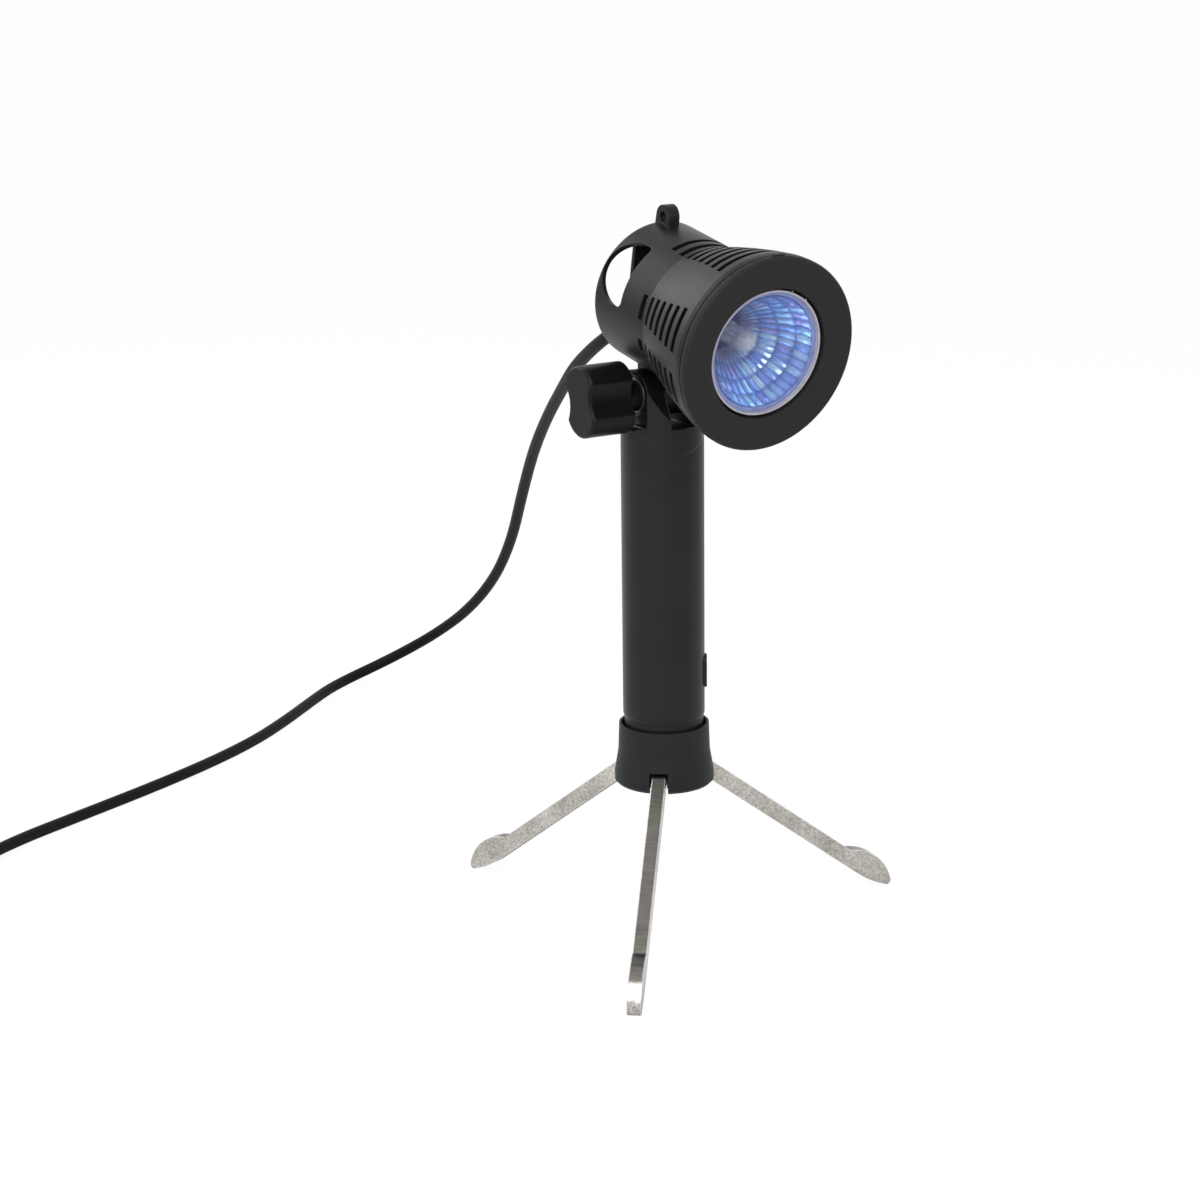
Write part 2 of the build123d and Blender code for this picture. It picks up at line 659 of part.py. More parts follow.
# Two brass contacts on the floor of the holder's cavity, under the pins at both ends of the twist
with BuildPart() as holder_contacts:
    for start in (0, 180):
        with BuildSketch(across(HOLDER_FRONT + HOLDER_CAVITY_DEPTH)):
            with PolarLocations(PIN_SPACING / 2, 2, start_angle=start, angular_range=LAMP_TWIST, endpoint=True):
                Circle(PIN_SHANK_RADIUS)
            make_hull()
        extrude(amount=CONTACT_THICK - MOVING_GAP / 2)
holder_contacts.part.label = "holder_contacts"
export_step(holder_contacts.part, "parts/holder_contacts.step")

# The steel strap that carries the holder on the shell's two bosses
with BuildPart() as holder_strap:
    with BuildSketch(across(STRAP_END)):
        SlotOverall(2 * (BOSS_OFFSET + BOSS_RADIUS), 2 * STRAP_HALF, rotation=90)
        with Locations((0, BOSS_OFFSET), (0, -BOSS_OFFSET)):
            Circle(SCREW_RADIUS + SLIP, mode=Mode.SUBTRACT)
        with Locations((0, HOLDER_SCREW_OFFSET), (0, -HOLDER_SCREW_OFFSET)):
            Circle(SCREW_RADIUS + SLIP, mode=Mode.SUBTRACT)
    extrude(amount=STRAP_THICK)
holder_strap.part.label = "holder_strap"
export_step(holder_strap.part, "parts/holder_strap.step")

# The two screws that hold the strap to the bosses, driven from the front
with BuildPart() as strap_screws:
    with BuildSketch(across(STRAP_END + SCREW_DEPTH - SLIP)):
        with Locations((0, BOSS_OFFSET), (0, -BOSS_OFFSET)):
            Circle(SCREW_RADIUS - PLAY)
    extrude(amount=STRAP_THICK + SCREW_DEPTH - SLIP)
    with BuildSketch(across(HOLDER_END)):
        with Locations((0, BOSS_OFFSET), (0, -BOSS_OFFSET)):
            Circle(SCREW_HEAD_RADIUS)
    extrude(amount=SCREW_HEAD_THICK)
strap_screws.part.label = "strap_screws"
export_step(strap_screws.part, "parts/strap_screws.step")

# The two short screws that hold the holder to the strap, driven from behind
with BuildPart() as holder_screws:
    with BuildSketch(across(STRAP_END)):
        with Locations((0, HOLDER_SCREW_OFFSET), (0, -HOLDER_SCREW_OFFSET)):
            Circle(SCREW_RADIUS - PLAY)
    extrude(amount=STRAP_THICK + HOLDER_BLIND - SLIP)
    with BuildSketch(across(STRAP_END + SCREW_HEAD_THICK)):
        with Locations((0, HOLDER_SCREW_OFFSET), (0, -HOLDER_SCREW_OFFSET)):
            Circle(SCREW_HEAD_RADIUS)
    extrude(amount=SCREW_HEAD_THICK)
holder_screws.part.label = "holder_screws"
export_step(holder_screws.part, "parts/holder_screws.step")

# The terminal block, screwed down in front of the rear bar, above the cord's entry
TERMINAL_FRONT = REAR_INNER - TERMINAL_DEPTH
TERMINAL_UP = -CORD_DROP + TERMINAL_HEIGHT
terminal_places = [(TERMINAL_HALF / 2, TERMINAL_UP), (-TERMINAL_HALF / 2, TERMINAL_UP)]
with BuildPart() as terminal_block:
    with BuildSketch(across(REAR_INNER)):
        with Locations((0, TERMINAL_UP)):
            Rectangle(2 * TERMINAL_HALF, TERMINAL_HEIGHT)
    extrude(amount=TERMINAL_DEPTH)
    with BuildSketch(across(REAR_INNER - TERMINAL_DEPTH / 2)):
        with Locations(*terminal_places):
            Circle(SCREW_RADIUS + PLAY)
    extrude(amount=TERMINAL_DEPTH / 2, mode=Mode.SUBTRACT)
terminal_block.part.label = "terminal_block"
export_step(terminal_block.part, "parts/terminal_block.step")

# The terminal block's two clamping screws
with BuildPart() as terminal_screws:
    with BuildSketch(across(REAR_INNER - TERMINAL_DEPTH / 2)):
        with Locations(*terminal_places):
            Circle(SCREW_RADIUS)
    extrude(amount=TERMINAL_DEPTH / 2 - SLIP)
terminal_screws.part.label = "terminal_screws"
export_step(terminal_screws.part, "parts/terminal_screws.step")

# Two sleeved leads from the holder to the terminal block's sides
lead_turn = (STRAP_END + TERMINAL_FRONT) / 2
lead_out = TERMINAL_HALF + WIRE_RADIUS + 2 * WIRE_BEND
lead_end = REAR_INNER - TERMINAL_DEPTH / 2
with BuildPart() as lead_wires:
    for side in (-1, 1):
        with BuildLine() as lead_path:
            FilletPolyline(
                head_point(side * WIRE_OFFSET, 0, HOLDER_END - HOLDER_BLIND + PLAY),
                head_point(side * WIRE_OFFSET, 0, lead_turn),
                head_point(side * lead_out, TERMINAL_UP / 2, TERMINAL_FRONT),
                head_point(side * lead_out, TERMINAL_UP, lead_end),
                head_point(side * TERMINAL_HALF, TERMINAL_UP, lead_end),
                radius=WIRE_BEND,
            )
        with BuildSketch(Plane(origin=lead_path.line @ 0, z_dir=lead_path.line % 0)):
            Circle(WIRE_RADIUS)
        sweep(path=lead_path.line)
lead_wires.part.label = "lead_wires"
export_step(lead_wires.part, "parts/lead_wires.step")

# The way of the cord through the rear bar and the grip, which turns down behind the head
droop = radians(GRIP_DROOP)
grip_end = SHELL_BACK + GRIP_FLANGE_THICK
grip_elbow = head_point(0, -CORD_DROP, grip_end + GRIP_ELBOW)
grip_way = forward * -cos(droop) - head_up * sin(droop)
cord_exit = grip_elbow + grip_way * GRIP_REACH
cord_start = head_point(0, -CORD_DROP, REAR_INNER - CORD_STUB)
with BuildLine() as entry_path:
    FilletPolyline(cord_start, grip_elbow, cord_exit, radius=CORD_BEND)

# The cord grip: a flange behind the rear bar, a sleeve through it and a tapered boot
half_droop = radians(GRIP_DROOP / 2)
middle_way = forward * -cos(half_droop) - head_up * sin(half_droop)
with BuildPart() as cord_grip:
    with BuildSketch(across(grip_end)):
        with Locations((0, -CORD_DROP)):
            Circle(GRIP_FLANGE_RADIUS)
    extrude(amount=GRIP_FLANGE_THICK)
    with BuildSketch(across(SHELL_BACK)):
        with Locations((0, -CORD_DROP)):
            Circle(GRIP_SLEEVE_RADIUS - PLAY)
    extrude(amount=REAR_WALL)
    with BuildSketch(Plane(origin=head_point(0, -CORD_DROP, grip_end), x_dir=sideways, z_dir=forward * -1)):
        Circle(GRIP_ROOT_RADIUS)
    with BuildSketch(Plane(origin=grip_elbow + middle_way * GRIP_ELBOW / 2, x_dir=sideways, z_dir=middle_way)):
        Circle(GRIP_ROOT_RADIUS - (GRIP_ROOT_RADIUS - GRIP_TIP_RADIUS) / 3)
    with BuildSketch(Plane(origin=cord_exit, x_dir=sideways, z_dir=grip_way)):
        Circle(GRIP_TIP_RADIUS)
    loft()
    with BuildSketch(Plane(origin=entry_path.line @ 0, z_dir=entry_path.line % 0)):
        Circle(CORD_RADIUS + PLAY)
    sweep(path=entry_path.line, mode=Mode.SUBTRACT)
cord_grip.part.label = "cord_grip"
export_step(cord_grip.part, "parts/cord_grip.step")

# The stretch of cord that the head holds, inside the grip
with BuildPart() as cord_entry:
    with BuildSketch(Plane(origin=entry_path.line @ 0, z_dir=entry_path.line % 0)):
        Circle(CORD_RADIUS)
    sweep(path=entry_path.line)
cord_entry.part.label = "cord_entry"
export_step(cord_entry.part, "parts/cord_entry.step")

# The cord's two stripped cores, up into the terminal block
with BuildPart() as cord_cores:
    core_back = REAR_INNER - CORD_STUB
    for side in (-1, 1):
        with BuildLine() as core_path:
            FilletPolyline(
                head_point(side * CORE_SPREAD, -CORD_DROP, core_back),
                head_point(side * CORE_SPREAD, -CORD_DROP, core_back - 2 * CORE_RADIUS),
                head_point(side * TERMINAL_HALF / 2, TERMINAL_UP - TERMINAL_HEIGHT / 2 - CORE_RADIUS, core_back),
                head_point(side * TERMINAL_HALF / 2, TERMINAL_UP - TERMINAL_HEIGHT / 2, core_back),
                radius=CORE_RADIUS / 2,
            )
        with BuildSketch(Plane(origin=core_path.line @ 0, z_dir=core_path.line % 0)):
            Circle(CORE_RADIUS / 2)
        sweep(path=core_path.line)
cord_cores.part.label = "cord_cores"
export_step(cord_cores.part, "parts/cord_cores.step")


def cord_tube(points, name):
    """The path of a free cord: straight runs joined by arcs as large as the runs allow."""
    places = [Vector(*point) for point in points]
    runs = [(b - a).length for a, b in zip(places, places[1:])]
    turns = [(b - a).get_angle(c - b) for a, b, c in zip(places, places[1:], places[2:])]
    radii = [
        CORD_ARC_SHARE * min(pair) / tan(radians(turn) / 2)
        for pair, turn in zip(zip(runs, runs[1:]), turns)
    ]
    with BuildLine() as path:
        FilletPolyline(*places, radius=radii)
    length = path.wire().length
    print(name, "radii", [round(radius) for radius in radii], "length", round(length, 1),
          "section times length", round(pi * CORD_RADIUS**2 * length))
    return path.wire()


# The free cord, from the grip's tip down to the floor and along it to the coil
cord_route = [cord_exit, cord_exit + grip_way * CORD_FIRST_RUN] + [Vector(*point) for point in CORD_POINTS]
run_path = cord_tube(cord_route, "cord_run")
with BuildPart() as cord_run:
    with BuildSketch(Plane(origin=run_path @ 0, z_dir=run_path % 0)):
        Circle(CORD_RADIUS)
    sweep(path=run_path)
cord_run.part.label = "cord_run"
export_step(cord_run.part, "parts/cord_run.step")
print("cord_run volume", round(cord_run.part.volume))

# The coil spirals in on its lower layer, climbs in one half turn and spirals out on the upper one
coil_way = (cord_route[-1] - cord_route[-2]).normalized()
mean_quarters_in = (COIL_QUARTERS - 2) / 4
wide = COIL_MEAN_RADIUS + COIL_PITCH * mean_quarters_in / 4
coil_lead = degrees(atan2(COIL_PITCH / (2 * pi), wide))
coil_out = coil_way.rotate(Axis.Z, 90 + coil_lead)
coil_start = cord_route[-1] + coil_way * 2 * CORD_RADIUS
coil_centre = coil_start - coil_out * wide
middle_quarter = COIL_QUARTERS / 2


def coil_place(quarter):
    """A point of the coil's centre line and its direction there, after so many quarter turns."""
    inward = min(quarter, COIL_QUARTERS - quarter)
    climbing = quarter == middle_quarter
    radius = wide - COIL_PITCH * (inward - (0.5 if climbing else 0)) / 4
    height = COIL_LAYER * (0.5 if climbing else float(quarter > middle_quarter))
    out = coil_out.rotate(Axis.Z, -90 * quarter)
    round_way = out.rotate(Axis.Z, -90)
    spread = 0 if climbing else COIL_PITCH / (2 * pi) * (1 if quarter > middle_quarter else -1)
    rise = COIL_LAYER / (pi / 2) if climbing else 0
    way = round_way * radius + out * spread + Vector(0, 0, rise)
    return coil_centre + out * radius + Vector(0, 0, height), way.normalized()


def biarc(start, start_way, end, end_way):
    """Two arcs that leave one point and reach the other in the given directions."""
    chord = end - start
    both = start_way + end_way
    a = 2 * (1 - start_way.dot(end_way))
    b = 2 * chord.dot(both)
    reach = (sqrt(b * b + 4 * a * chord.dot(chord)) - b) / (2 * a)
    joint = (start + end + (start_way - end_way) * reach) / 2
    joint_way = (end - end_way * reach) - (start + start_way * reach)
    TangentArc(start, joint, tangent=start_way)
    TangentArc(joint, end, tangent=joint_way)


with BuildLine() as coil_path:
    Line(cord_route[-1], coil_start)
    for quarter in range(COIL_QUARTERS):
        biarc(*coil_place(quarter), *coil_place(quarter + 1))
    coil_end, coil_end_way = coil_place(COIL_QUARTERS)
    Line(coil_end, coil_end + coil_end_way * 2 * CORD_RADIUS)
with BuildPart() as cord_coil:
    with BuildSketch(Plane(origin=coil_path.line @ 0, z_dir=coil_path.line % 0)):
        Circle(CORD_RADIUS)
    sweep(path=coil_path.line)
cord_coil.part.label = "cord_coil"
export_step(cord_coil.part, "parts/cord_coil.step")
coil_wire = coil_path.wire()
coil_length = coil_wire.length
samples = [coil_wire @ (n / COIL_SAMPLES) for n in range(COIL_SAMPLES + 1)]
apart = int(COIL_SAMPLES * 3 * pi * CORD_RADIUS * 2 / coil_length)
least = min((a - b).length for i, a in enumerate(samples) for b in samples[i + apart:])
print("coil length", round(coil_length, 1), "least gap", round(least - 2 * CORD_RADIUS, 2),
      "volume", round(cord_coil.part.volume), "section times length", round(pi * CORD_RADIUS**2 * coil_length))

# The tie round the bundle of turns
tie_out = coil_out.rotate(Axis.Z, -90 * TIE_QUARTER)
tie_inner = wide - COIL_PITCH * (TIE_QUARTER + 4) / 4 - CORD_RADIUS - TIE_CLEAR
tie_outer = wide - COIL_PITCH * TIE_QUARTER / 4 + CORD_RADIUS + TIE_CLEAR
tie_low = cord_route[-1].Z - CORD_RADIUS - MOVING_GAP
tie_high = cord_route[-1].Z + COIL_LAYER + CORD_RADIUS + MOVING_GAP
tie_centre = coil_centre + tie_out * ((tie_inner + tie_outer) / 2)
with BuildPart() as cord_tie:
    with BuildSketch(Plane(origin=(tie_centre.X, tie_centre.Y, (tie_low + tie_high) / 2), x_dir=tie_out,
                           z_dir=tie_out.rotate(Axis.Z, -90))):
        RectangleRounded(tie_outer - tie_inner + 2 * TIE_BAND, tie_high - tie_low + 2 * TIE_BAND,
                         CORD_RADIUS + TIE_BAND)
        RectangleRounded(tie_outer - tie_inner, tie_high - tie_low, CORD_RADIUS, mode=Mode.SUBTRACT)
    extrude(amount=TIE_WIDTH / 2, both=True)
cord_tie.part.label = "cord_tie"
export_step(cord_tie.part, "parts/cord_tie.step")

# The tail bends away from the coil and comes down to the height of the plug's middle
tail_points = [coil_end + coil_end_way * 2 * CORD_RADIUS]
tail_way = coil_end_way
for run in range(TAIL_RUNS):
    drop = (tail_points[-1].Z - PLUG_THICK / 2) / 2 if run == 1 else 0
    drop = tail_points[-1].Z - PLUG_THICK / 2 if run == 2 else drop
    tail_points.append(tail_points[-1] + tail_way * TAIL_RUN - Vector(0, 0, drop))
    tail_way = tail_way.rotate(Axis.Z, TAIL_TURN)
tail_path = cord_tube(tail_points, "cord_tail")
with BuildPart() as cord_tail:
    with BuildSketch(Plane(origin=tail_path @ 0, z_dir=tail_path % 0)):
        Circle(CORD_RADIUS)
    sweep(path=tail_path)
cord_tail.part.label = "cord_tail"
export_step(cord_tail.part, "parts/cord_tail.step")
print("whole cord", round(run_path.length + coil_length + tail_path.length), "mm")

# The flat plug: a round neck that widens on to a body, which widens towards its pins
plug_way = (tail_points[-1] - tail_points[-2]).normalized()
plug_rear = tail_points[-1]
plug_side = plug_way.rotate(Axis.Z, 90)
plug_flat = Plane(origin=plug_rear, x_dir=plug_way, z_dir=(0, 0, 1))
plug_front = plug_rear + plug_way * (PLUG_NECK_LENGTH + PLUG_LENGTH)
with BuildPart() as plug_body:
    with BuildSketch(plug_flat):
        with BuildLine():
            Polyline(
                (PLUG_NECK_LENGTH, -PLUG_NARROW / 2),
                (PLUG_NECK_LENGTH + PLUG_WIDE_FROM, -PLUG_WIDE / 2),
                (PLUG_NECK_LENGTH + PLUG_LENGTH, -PLUG_WIDE / 2),
                (PLUG_NECK_LENGTH + PLUG_LENGTH, PLUG_WIDE / 2),
                (PLUG_NECK_LENGTH + PLUG_WIDE_FROM, PLUG_WIDE / 2),
                (PLUG_NECK_LENGTH, PLUG_NARROW / 2),
                close=True,
            )
        make_face()
    extrude(amount=PLUG_THICK / 2, both=True)
    fillet(plug_body.edges(), PLUG_ROUND)
    with BuildSketch(Plane(origin=plug_rear, x_dir=plug_side, z_dir=plug_way)):
        Circle(PLUG_NECK_TIP)
    with BuildSketch(Plane(origin=plug_rear + plug_way * (PLUG_NECK_LENGTH + PLUG_ROUND), x_dir=plug_side,
                           z_dir=plug_way)):
        Circle(PLUG_NECK_ROOT)
    loft()
    with BuildSketch(Plane(origin=plug_front, x_dir=plug_side, z_dir=plug_way)):
        with Locations((PLUG_PIN_SPACING / 2, 0), (-PLUG_PIN_SPACING / 2, 0)):
            Circle(PLUG_PIN_RADIUS)
    extrude(amount=-PLUG_PIN_ROOT, mode=Mode.SUBTRACT)
plug_body.part.label = "plug_body"
export_step(plug_body.part, "parts/plug_body.step")

# The plug's two round pins
with BuildPart() as plug_pins:
    with BuildSketch(Plane(origin=plug_front - plug_way * PLUG_PIN_ROOT, x_dir=plug_side, z_dir=plug_way)):
        with Locations((PLUG_PIN_SPACING / 2, 0), (-PLUG_PIN_SPACING / 2, 0)):
            Circle(PLUG_PIN_RADIUS)
    extrude(amount=PLUG_PIN_ROOT + PLUG_PIN_LENGTH)
    fillet(plug_pins.faces().sort_by(Axis(plug_rear, plug_way))[-2:].edges(), PLUG_PIN_RADIUS / 2)
plug_pins.part.label = "plug_pins"
export_step(plug_pins.part, "parts/plug_pins.step")

# The post: a tube whose top is rounded like a vault along X, with a waist inside the collar
with BuildPart() as post_tube:
    neck_top = COLLAR_TOP + POST_NECK_RISE
    with BuildSketch(Plane.XZ):
        with BuildLine():
            Polyline(
                (POST_BORE, POST_BOTTOM),
                (POST_NECK_RADIUS, POST_BOTTOM),
                (POST_NECK_RADIUS, neck_top),
                (POST_RADIUS, neck_top + POST_TAPER),
                (POST_RADIUS, VAULT_TOP + POST_WALL),
                (POST_BORE, VAULT_TOP + POST_WALL),
                close=True,
            )
        make_face()
    revolve(axis=Axis.Z)
    with BuildSketch(Plane.YZ):
        with Locations((0, VAULT_CENTRE + VAULT_RADIUS)):
            Rectangle(2 * POST_RADIUS + POST_WALL, 2 * VAULT_RADIUS)
        with Locations((0, VAULT_CENTRE)):
            Circle(VAULT_RADIUS, mode=Mode.SUBTRACT)
    extrude(amount=POST_RADIUS + POST_WALL, both=True, mode=Mode.SUBTRACT)
    # A raised oval pad on the tube's side
    pad_turn = radians(PAD_CLOCK)
    pad_out = Vector(sin(pad_turn), -cos(pad_turn), 0)
    pad_root = pad_out * (POST_BORE + POST_WALL / 2) + Vector(0, 0, COLLAR_TOP + PAD_RISE_FROM_COLLAR)
    with BuildSketch(Plane(origin=pad_root, x_dir=(0, 0, 1), z_dir=pad_out)):
        SlotOverall(PAD_LENGTH, PAD_WIDTH)
    extrude(amount=POST_WALL / 2 + PAD_RISE)
post_tube.part.label = "post_tube"
export_step(post_tube.part, "parts/post_tube.step")

# The fork on top of the post: a saddle over the vault, two cheeks and a plug inside the tube
with BuildPart() as yoke:
    with BuildSketch(Plane.YZ):
        with Locations((0, TILT_HEIGHT)):
            Circle(CHEEK_RADIUS)
        with Locations((0, (VAULT_CENTRE + CHEEK_SHOULDER) / 2)):
            Rectangle(2 * POST_RADIUS, CHEEK_SHOULDER - VAULT_CENTRE)
        make_hull()
    extrude(amount=CHEEK_HALF, both=True)
    with BuildSketch(Plane.XY.offset(VAULT_CENTRE)):
        Circle(POST_RADIUS)
    extrude(amount=TILT_HEIGHT + CHEEK_RADIUS - VAULT_CENTRE, mode=Mode.INTERSECT)
    with BuildSketch(Plane.XY.offset(VAULT_CENTRE)):
        Circle(POST_RADIUS)
    extrude(amount=SADDLE_TOP - VAULT_CENTRE)
    # The room for the lug between the cheeks
    with BuildSketch(Plane.XZ.offset(-POST_RADIUS)):
        with Locations((0, (SADDLE_TOP + TILT_HEIGHT + 2 * CHEEK_RADIUS) / 2)):
            Rectangle(2 * (LUG_HALF + MOVING_GAP), TILT_HEIGHT + 2 * CHEEK_RADIUS - SADDLE_TOP)
    extrude(amount=2 * POST_RADIUS, mode=Mode.SUBTRACT)
    # The underside follows the vault
    with BuildSketch(Plane.YZ):
        with Locations((0, VAULT_CENTRE)):
            Circle(VAULT_RADIUS + PLAY)
    extrude(amount=POST_RADIUS + POST_WALL, both=True, mode=Mode.SUBTRACT)
    with BuildSketch(Plane.XY.offset(VAULT_TOP + PLAY)):
        Circle(POST_BORE - PLAY)
    extrude(amount=-YOKE_PLUG_LENGTH)
    # The bolt's hole, the washer's pocket and the hexagonal pocket
    with BuildSketch(Plane.YZ):
        with Locations((0, TILT_HEIGHT)):
            Circle(BOLT_RADIUS + SLIP)
    extrude(amount=CHEEK_HALF, both=True, mode=Mode.SUBTRACT)
    with BuildSketch(Plane.YZ.offset(-CHEEK_HALF)):
        with Locations((0, TILT_HEIGHT)):
            Circle(POCKET_RADIUS)
    extrude(amount=POCKET_DEPTH, mode=Mode.SUBTRACT)
    with BuildSketch(Plane.YZ.offset(CHEEK_HALF)):
        with Locations((0, TILT_HEIGHT)):
            RegularPolygon(BOLT_HEAD_FLATS / 2 + PLAY, 6, major_radius=False)
    extrude(amount=-BOLT_HEAD_THICK, mode=Mode.SUBTRACT)
yoke.part.label = "yoke"
export_step(yoke.part, "parts/yoke.step")

# The tilt bolt: its hexagonal head sits in the far cheek, its thread ends inside the knob
hub_end = CHEEK_HALF - POCKET_DEPTH + WASHER_THICK + MOVING_GAP
bolt_reach = hub_end + INSERT_LENGTH + BOLT_SPARE
with BuildPart() as tilt_bolt:
    with BuildSketch(Plane.YZ.offset(-bolt_reach)):
        with Locations((0, TILT_HEIGHT)):
            Circle(BOLT_RADIUS)
    extrude(amount=bolt_reach + CHEEK_HALF - BOLT_HEAD_THICK)
    with BuildSketch(Plane.YZ.offset(CHEEK_HALF)):
        with Locations((0, TILT_HEIGHT)):
            RegularPolygon(BOLT_HEAD_FLATS / 2, 6, major_radius=False)
    extrude(amount=-BOLT_HEAD_THICK)
tilt_bolt.part.label = "tilt_bolt"
export_step(tilt_bolt.part, "parts/tilt_bolt.step")

# The steel washer in the near cheek's pocket
with BuildPart() as tilt_washer:
    with BuildSketch(Plane.YZ.offset(-CHEEK_HALF + POCKET_DEPTH)):
        with Locations((0, TILT_HEIGHT)):
            Circle(WASHER_RADIUS)
            Circle(BOLT_RADIUS + SLIP, mode=Mode.SUBTRACT)
    extrude(amount=-WASHER_THICK)
tilt_washer.part.label = "tilt_washer"
export_step(tilt_washer.part, "parts/tilt_washer.step")

# The clamp knob: an oval grip with a flute on each side, on a round hub
knob_inner = CHEEK_HALF + KNOB_GAP
knob_outer = knob_inner + KNOB_LENGTH
with BuildPart() as tilt_knob:
    with BuildSketch(Plane.YZ.offset(-knob_outer)):
        with Locations(Location((0, TILT_HEIGHT), KNOB_TURN)):
            RectangleRounded(KNOB_WIDE, KNOB_TALL, KNOB_WIDE / 2 - PLAY)
            with Locations((KNOB_WAIST_HALF + KNOB_FLUTE_RADIUS, 0), (-KNOB_WAIST_HALF - KNOB_FLUTE_RADIUS, 0)):
                Circle(KNOB_FLUTE_RADIUS, mode=Mode.SUBTRACT)
    extrude(amount=knob_outer - knob_inner)
    chamfer(tilt_knob.faces().sort_by(Axis.X)[0].edges(), KNOB_CHAMFER)
    with BuildSketch(Plane.YZ.offset(-knob_inner)):
        with Locations((0, TILT_HEIGHT)):
            Circle(HUB_RADIUS)
    extrude(amount=knob_inner - hub_end)
    with BuildSketch(Plane.YZ.offset(-hub_end)):
        with Locations((0, TILT_HEIGHT)):
            Circle(INSERT_RADIUS + PLAY)
    extrude(amount=-INSERT_LENGTH, mode=Mode.SUBTRACT)
    with BuildSketch(Plane.YZ.offset(-hub_end)):
        with Locations((0, TILT_HEIGHT)):
            Circle(BOLT_RADIUS + SLIP)
    extrude(amount=hub_end - bolt_reach - MOVING_GAP, mode=Mode.SUBTRACT)
tilt_knob.part.label = "tilt_knob"
export_step(tilt_knob.part, "parts/tilt_knob.step")

# The knob's brass threaded insert
with BuildPart() as knob_insert:
    with BuildSketch(Plane.YZ.offset(-hub_end)):
        with Locations((0, TILT_HEIGHT)):
            Circle(INSERT_RADIUS)
            Circle(BOLT_RADIUS + PLAY, mode=Mode.SUBTRACT)
    extrude(amount=-INSERT_LENGTH)
knob_insert.part.label = "knob_insert"
export_step(knob_insert.part, "parts/knob_insert.step")

# The plug in the tube's lower end that the base turns on
with BuildPart() as post_plug:
    with BuildSketch(Plane.XY.offset(POST_BOTTOM)):
        Circle(POST_BORE - PLAY)
        Circle(BOLT_RADIUS + PLAY, mode=Mode.SUBTRACT)
    extrude(amount=POST_PLUG_LENGTH)
post_plug.part.label = "post_plug"
export_step(post_plug.part, "parts/post_plug.step")

# The swivel screw, driven from below into the plug
with BuildPart() as swivel_screw:
    with BuildSketch(Plane.XY.offset(CARRIER_BOTTOM - MOVING_GAP - SWIVEL_HEAD_THICK)):
        Circle(SWIVEL_HEAD_RADIUS)
    extrude(amount=SWIVEL_HEAD_THICK)
    with BuildSketch(Plane.XY.offset(CARRIER_BOTTOM - MOVING_GAP)):
        Circle(BOLT_RADIUS)
    extrude(amount=POST_BOTTOM + SWIVEL_DEPTH - CARRIER_BOTTOM + MOVING_GAP)
swivel_screw.part.label = "swivel_screw"
export_step(swivel_screw.part, "parts/swivel_screw.step")

# Each leg stands in a slot of the carrier and leaves the collar through a notch
web_at_bore = PIVOT_HEIGHT + LEG_WEB_RISE / cos(slope) - (COLLAR_BORE - LEG_PIVOT_RADIUS) * tan(slope)
notch_top = web_at_bore + MOVING_GAP
slot_half = LEG_WIDTH / 2 + LEG_SIDE_CLEAR
notch_half = LEG_WIDTH / 2 + NOTCH_CLEAR
leg_clocks = [LEG_CLOCK + 360 / LEG_COUNT * n for n in range(LEG_COUNT)]


def leg_frame(clock):
    """A leg's outward and sideways directions, and its pivot."""
    turn = radians(clock)
    out = Vector(sin(turn), -cos(turn), 0)
    return out, Vector(cos(turn), sin(turn), 0), out * LEG_PIVOT_RADIUS + Vector(0, 0, PIVOT_HEIGHT)


# The flared collar with a notch over each leg
with BuildPart() as base_collar:
    with BuildSketch(Plane.XZ):
        with BuildLine():
            Polyline(
                (COLLAR_BORE, COLLAR_BOTTOM),
                (COLLAR_TOP_RADIUS + COLLAR_FLARE - COLLAR_CHAMFER, COLLAR_BOTTOM),
                (COLLAR_TOP_RADIUS + COLLAR_FLARE, COLLAR_BOTTOM + COLLAR_CHAMFER),
                (COLLAR_TOP_RADIUS + COLLAR_FLARE, COLLAR_BOTTOM + COLLAR_FLARE_END),
                (COLLAR_TOP_RADIUS + COLLAR_SWELL, COLLAR_BOTTOM + COLLAR_FLARE_START),
                (COLLAR_TOP_RADIUS, COLLAR_TOP),
                (COLLAR_BORE, COLLAR_TOP),
                close=True,
            )
        make_face()
    revolve(axis=Axis.Z)
    for clock in leg_clocks:
        out, aside, pivot = leg_frame(clock)
        with BuildSketch(Plane(origin=out * LEG_PIVOT_RADIUS, x_dir=aside, z_dir=out)):
            with Locations((0, notch_top / 2)):
                Rectangle(2 * notch_half, notch_top)
        extrude(amount=2 * POST_RADIUS, mode=Mode.SUBTRACT)
base_collar.part.label = "base_collar"
export_step(base_collar.part, "parts/base_collar.step")

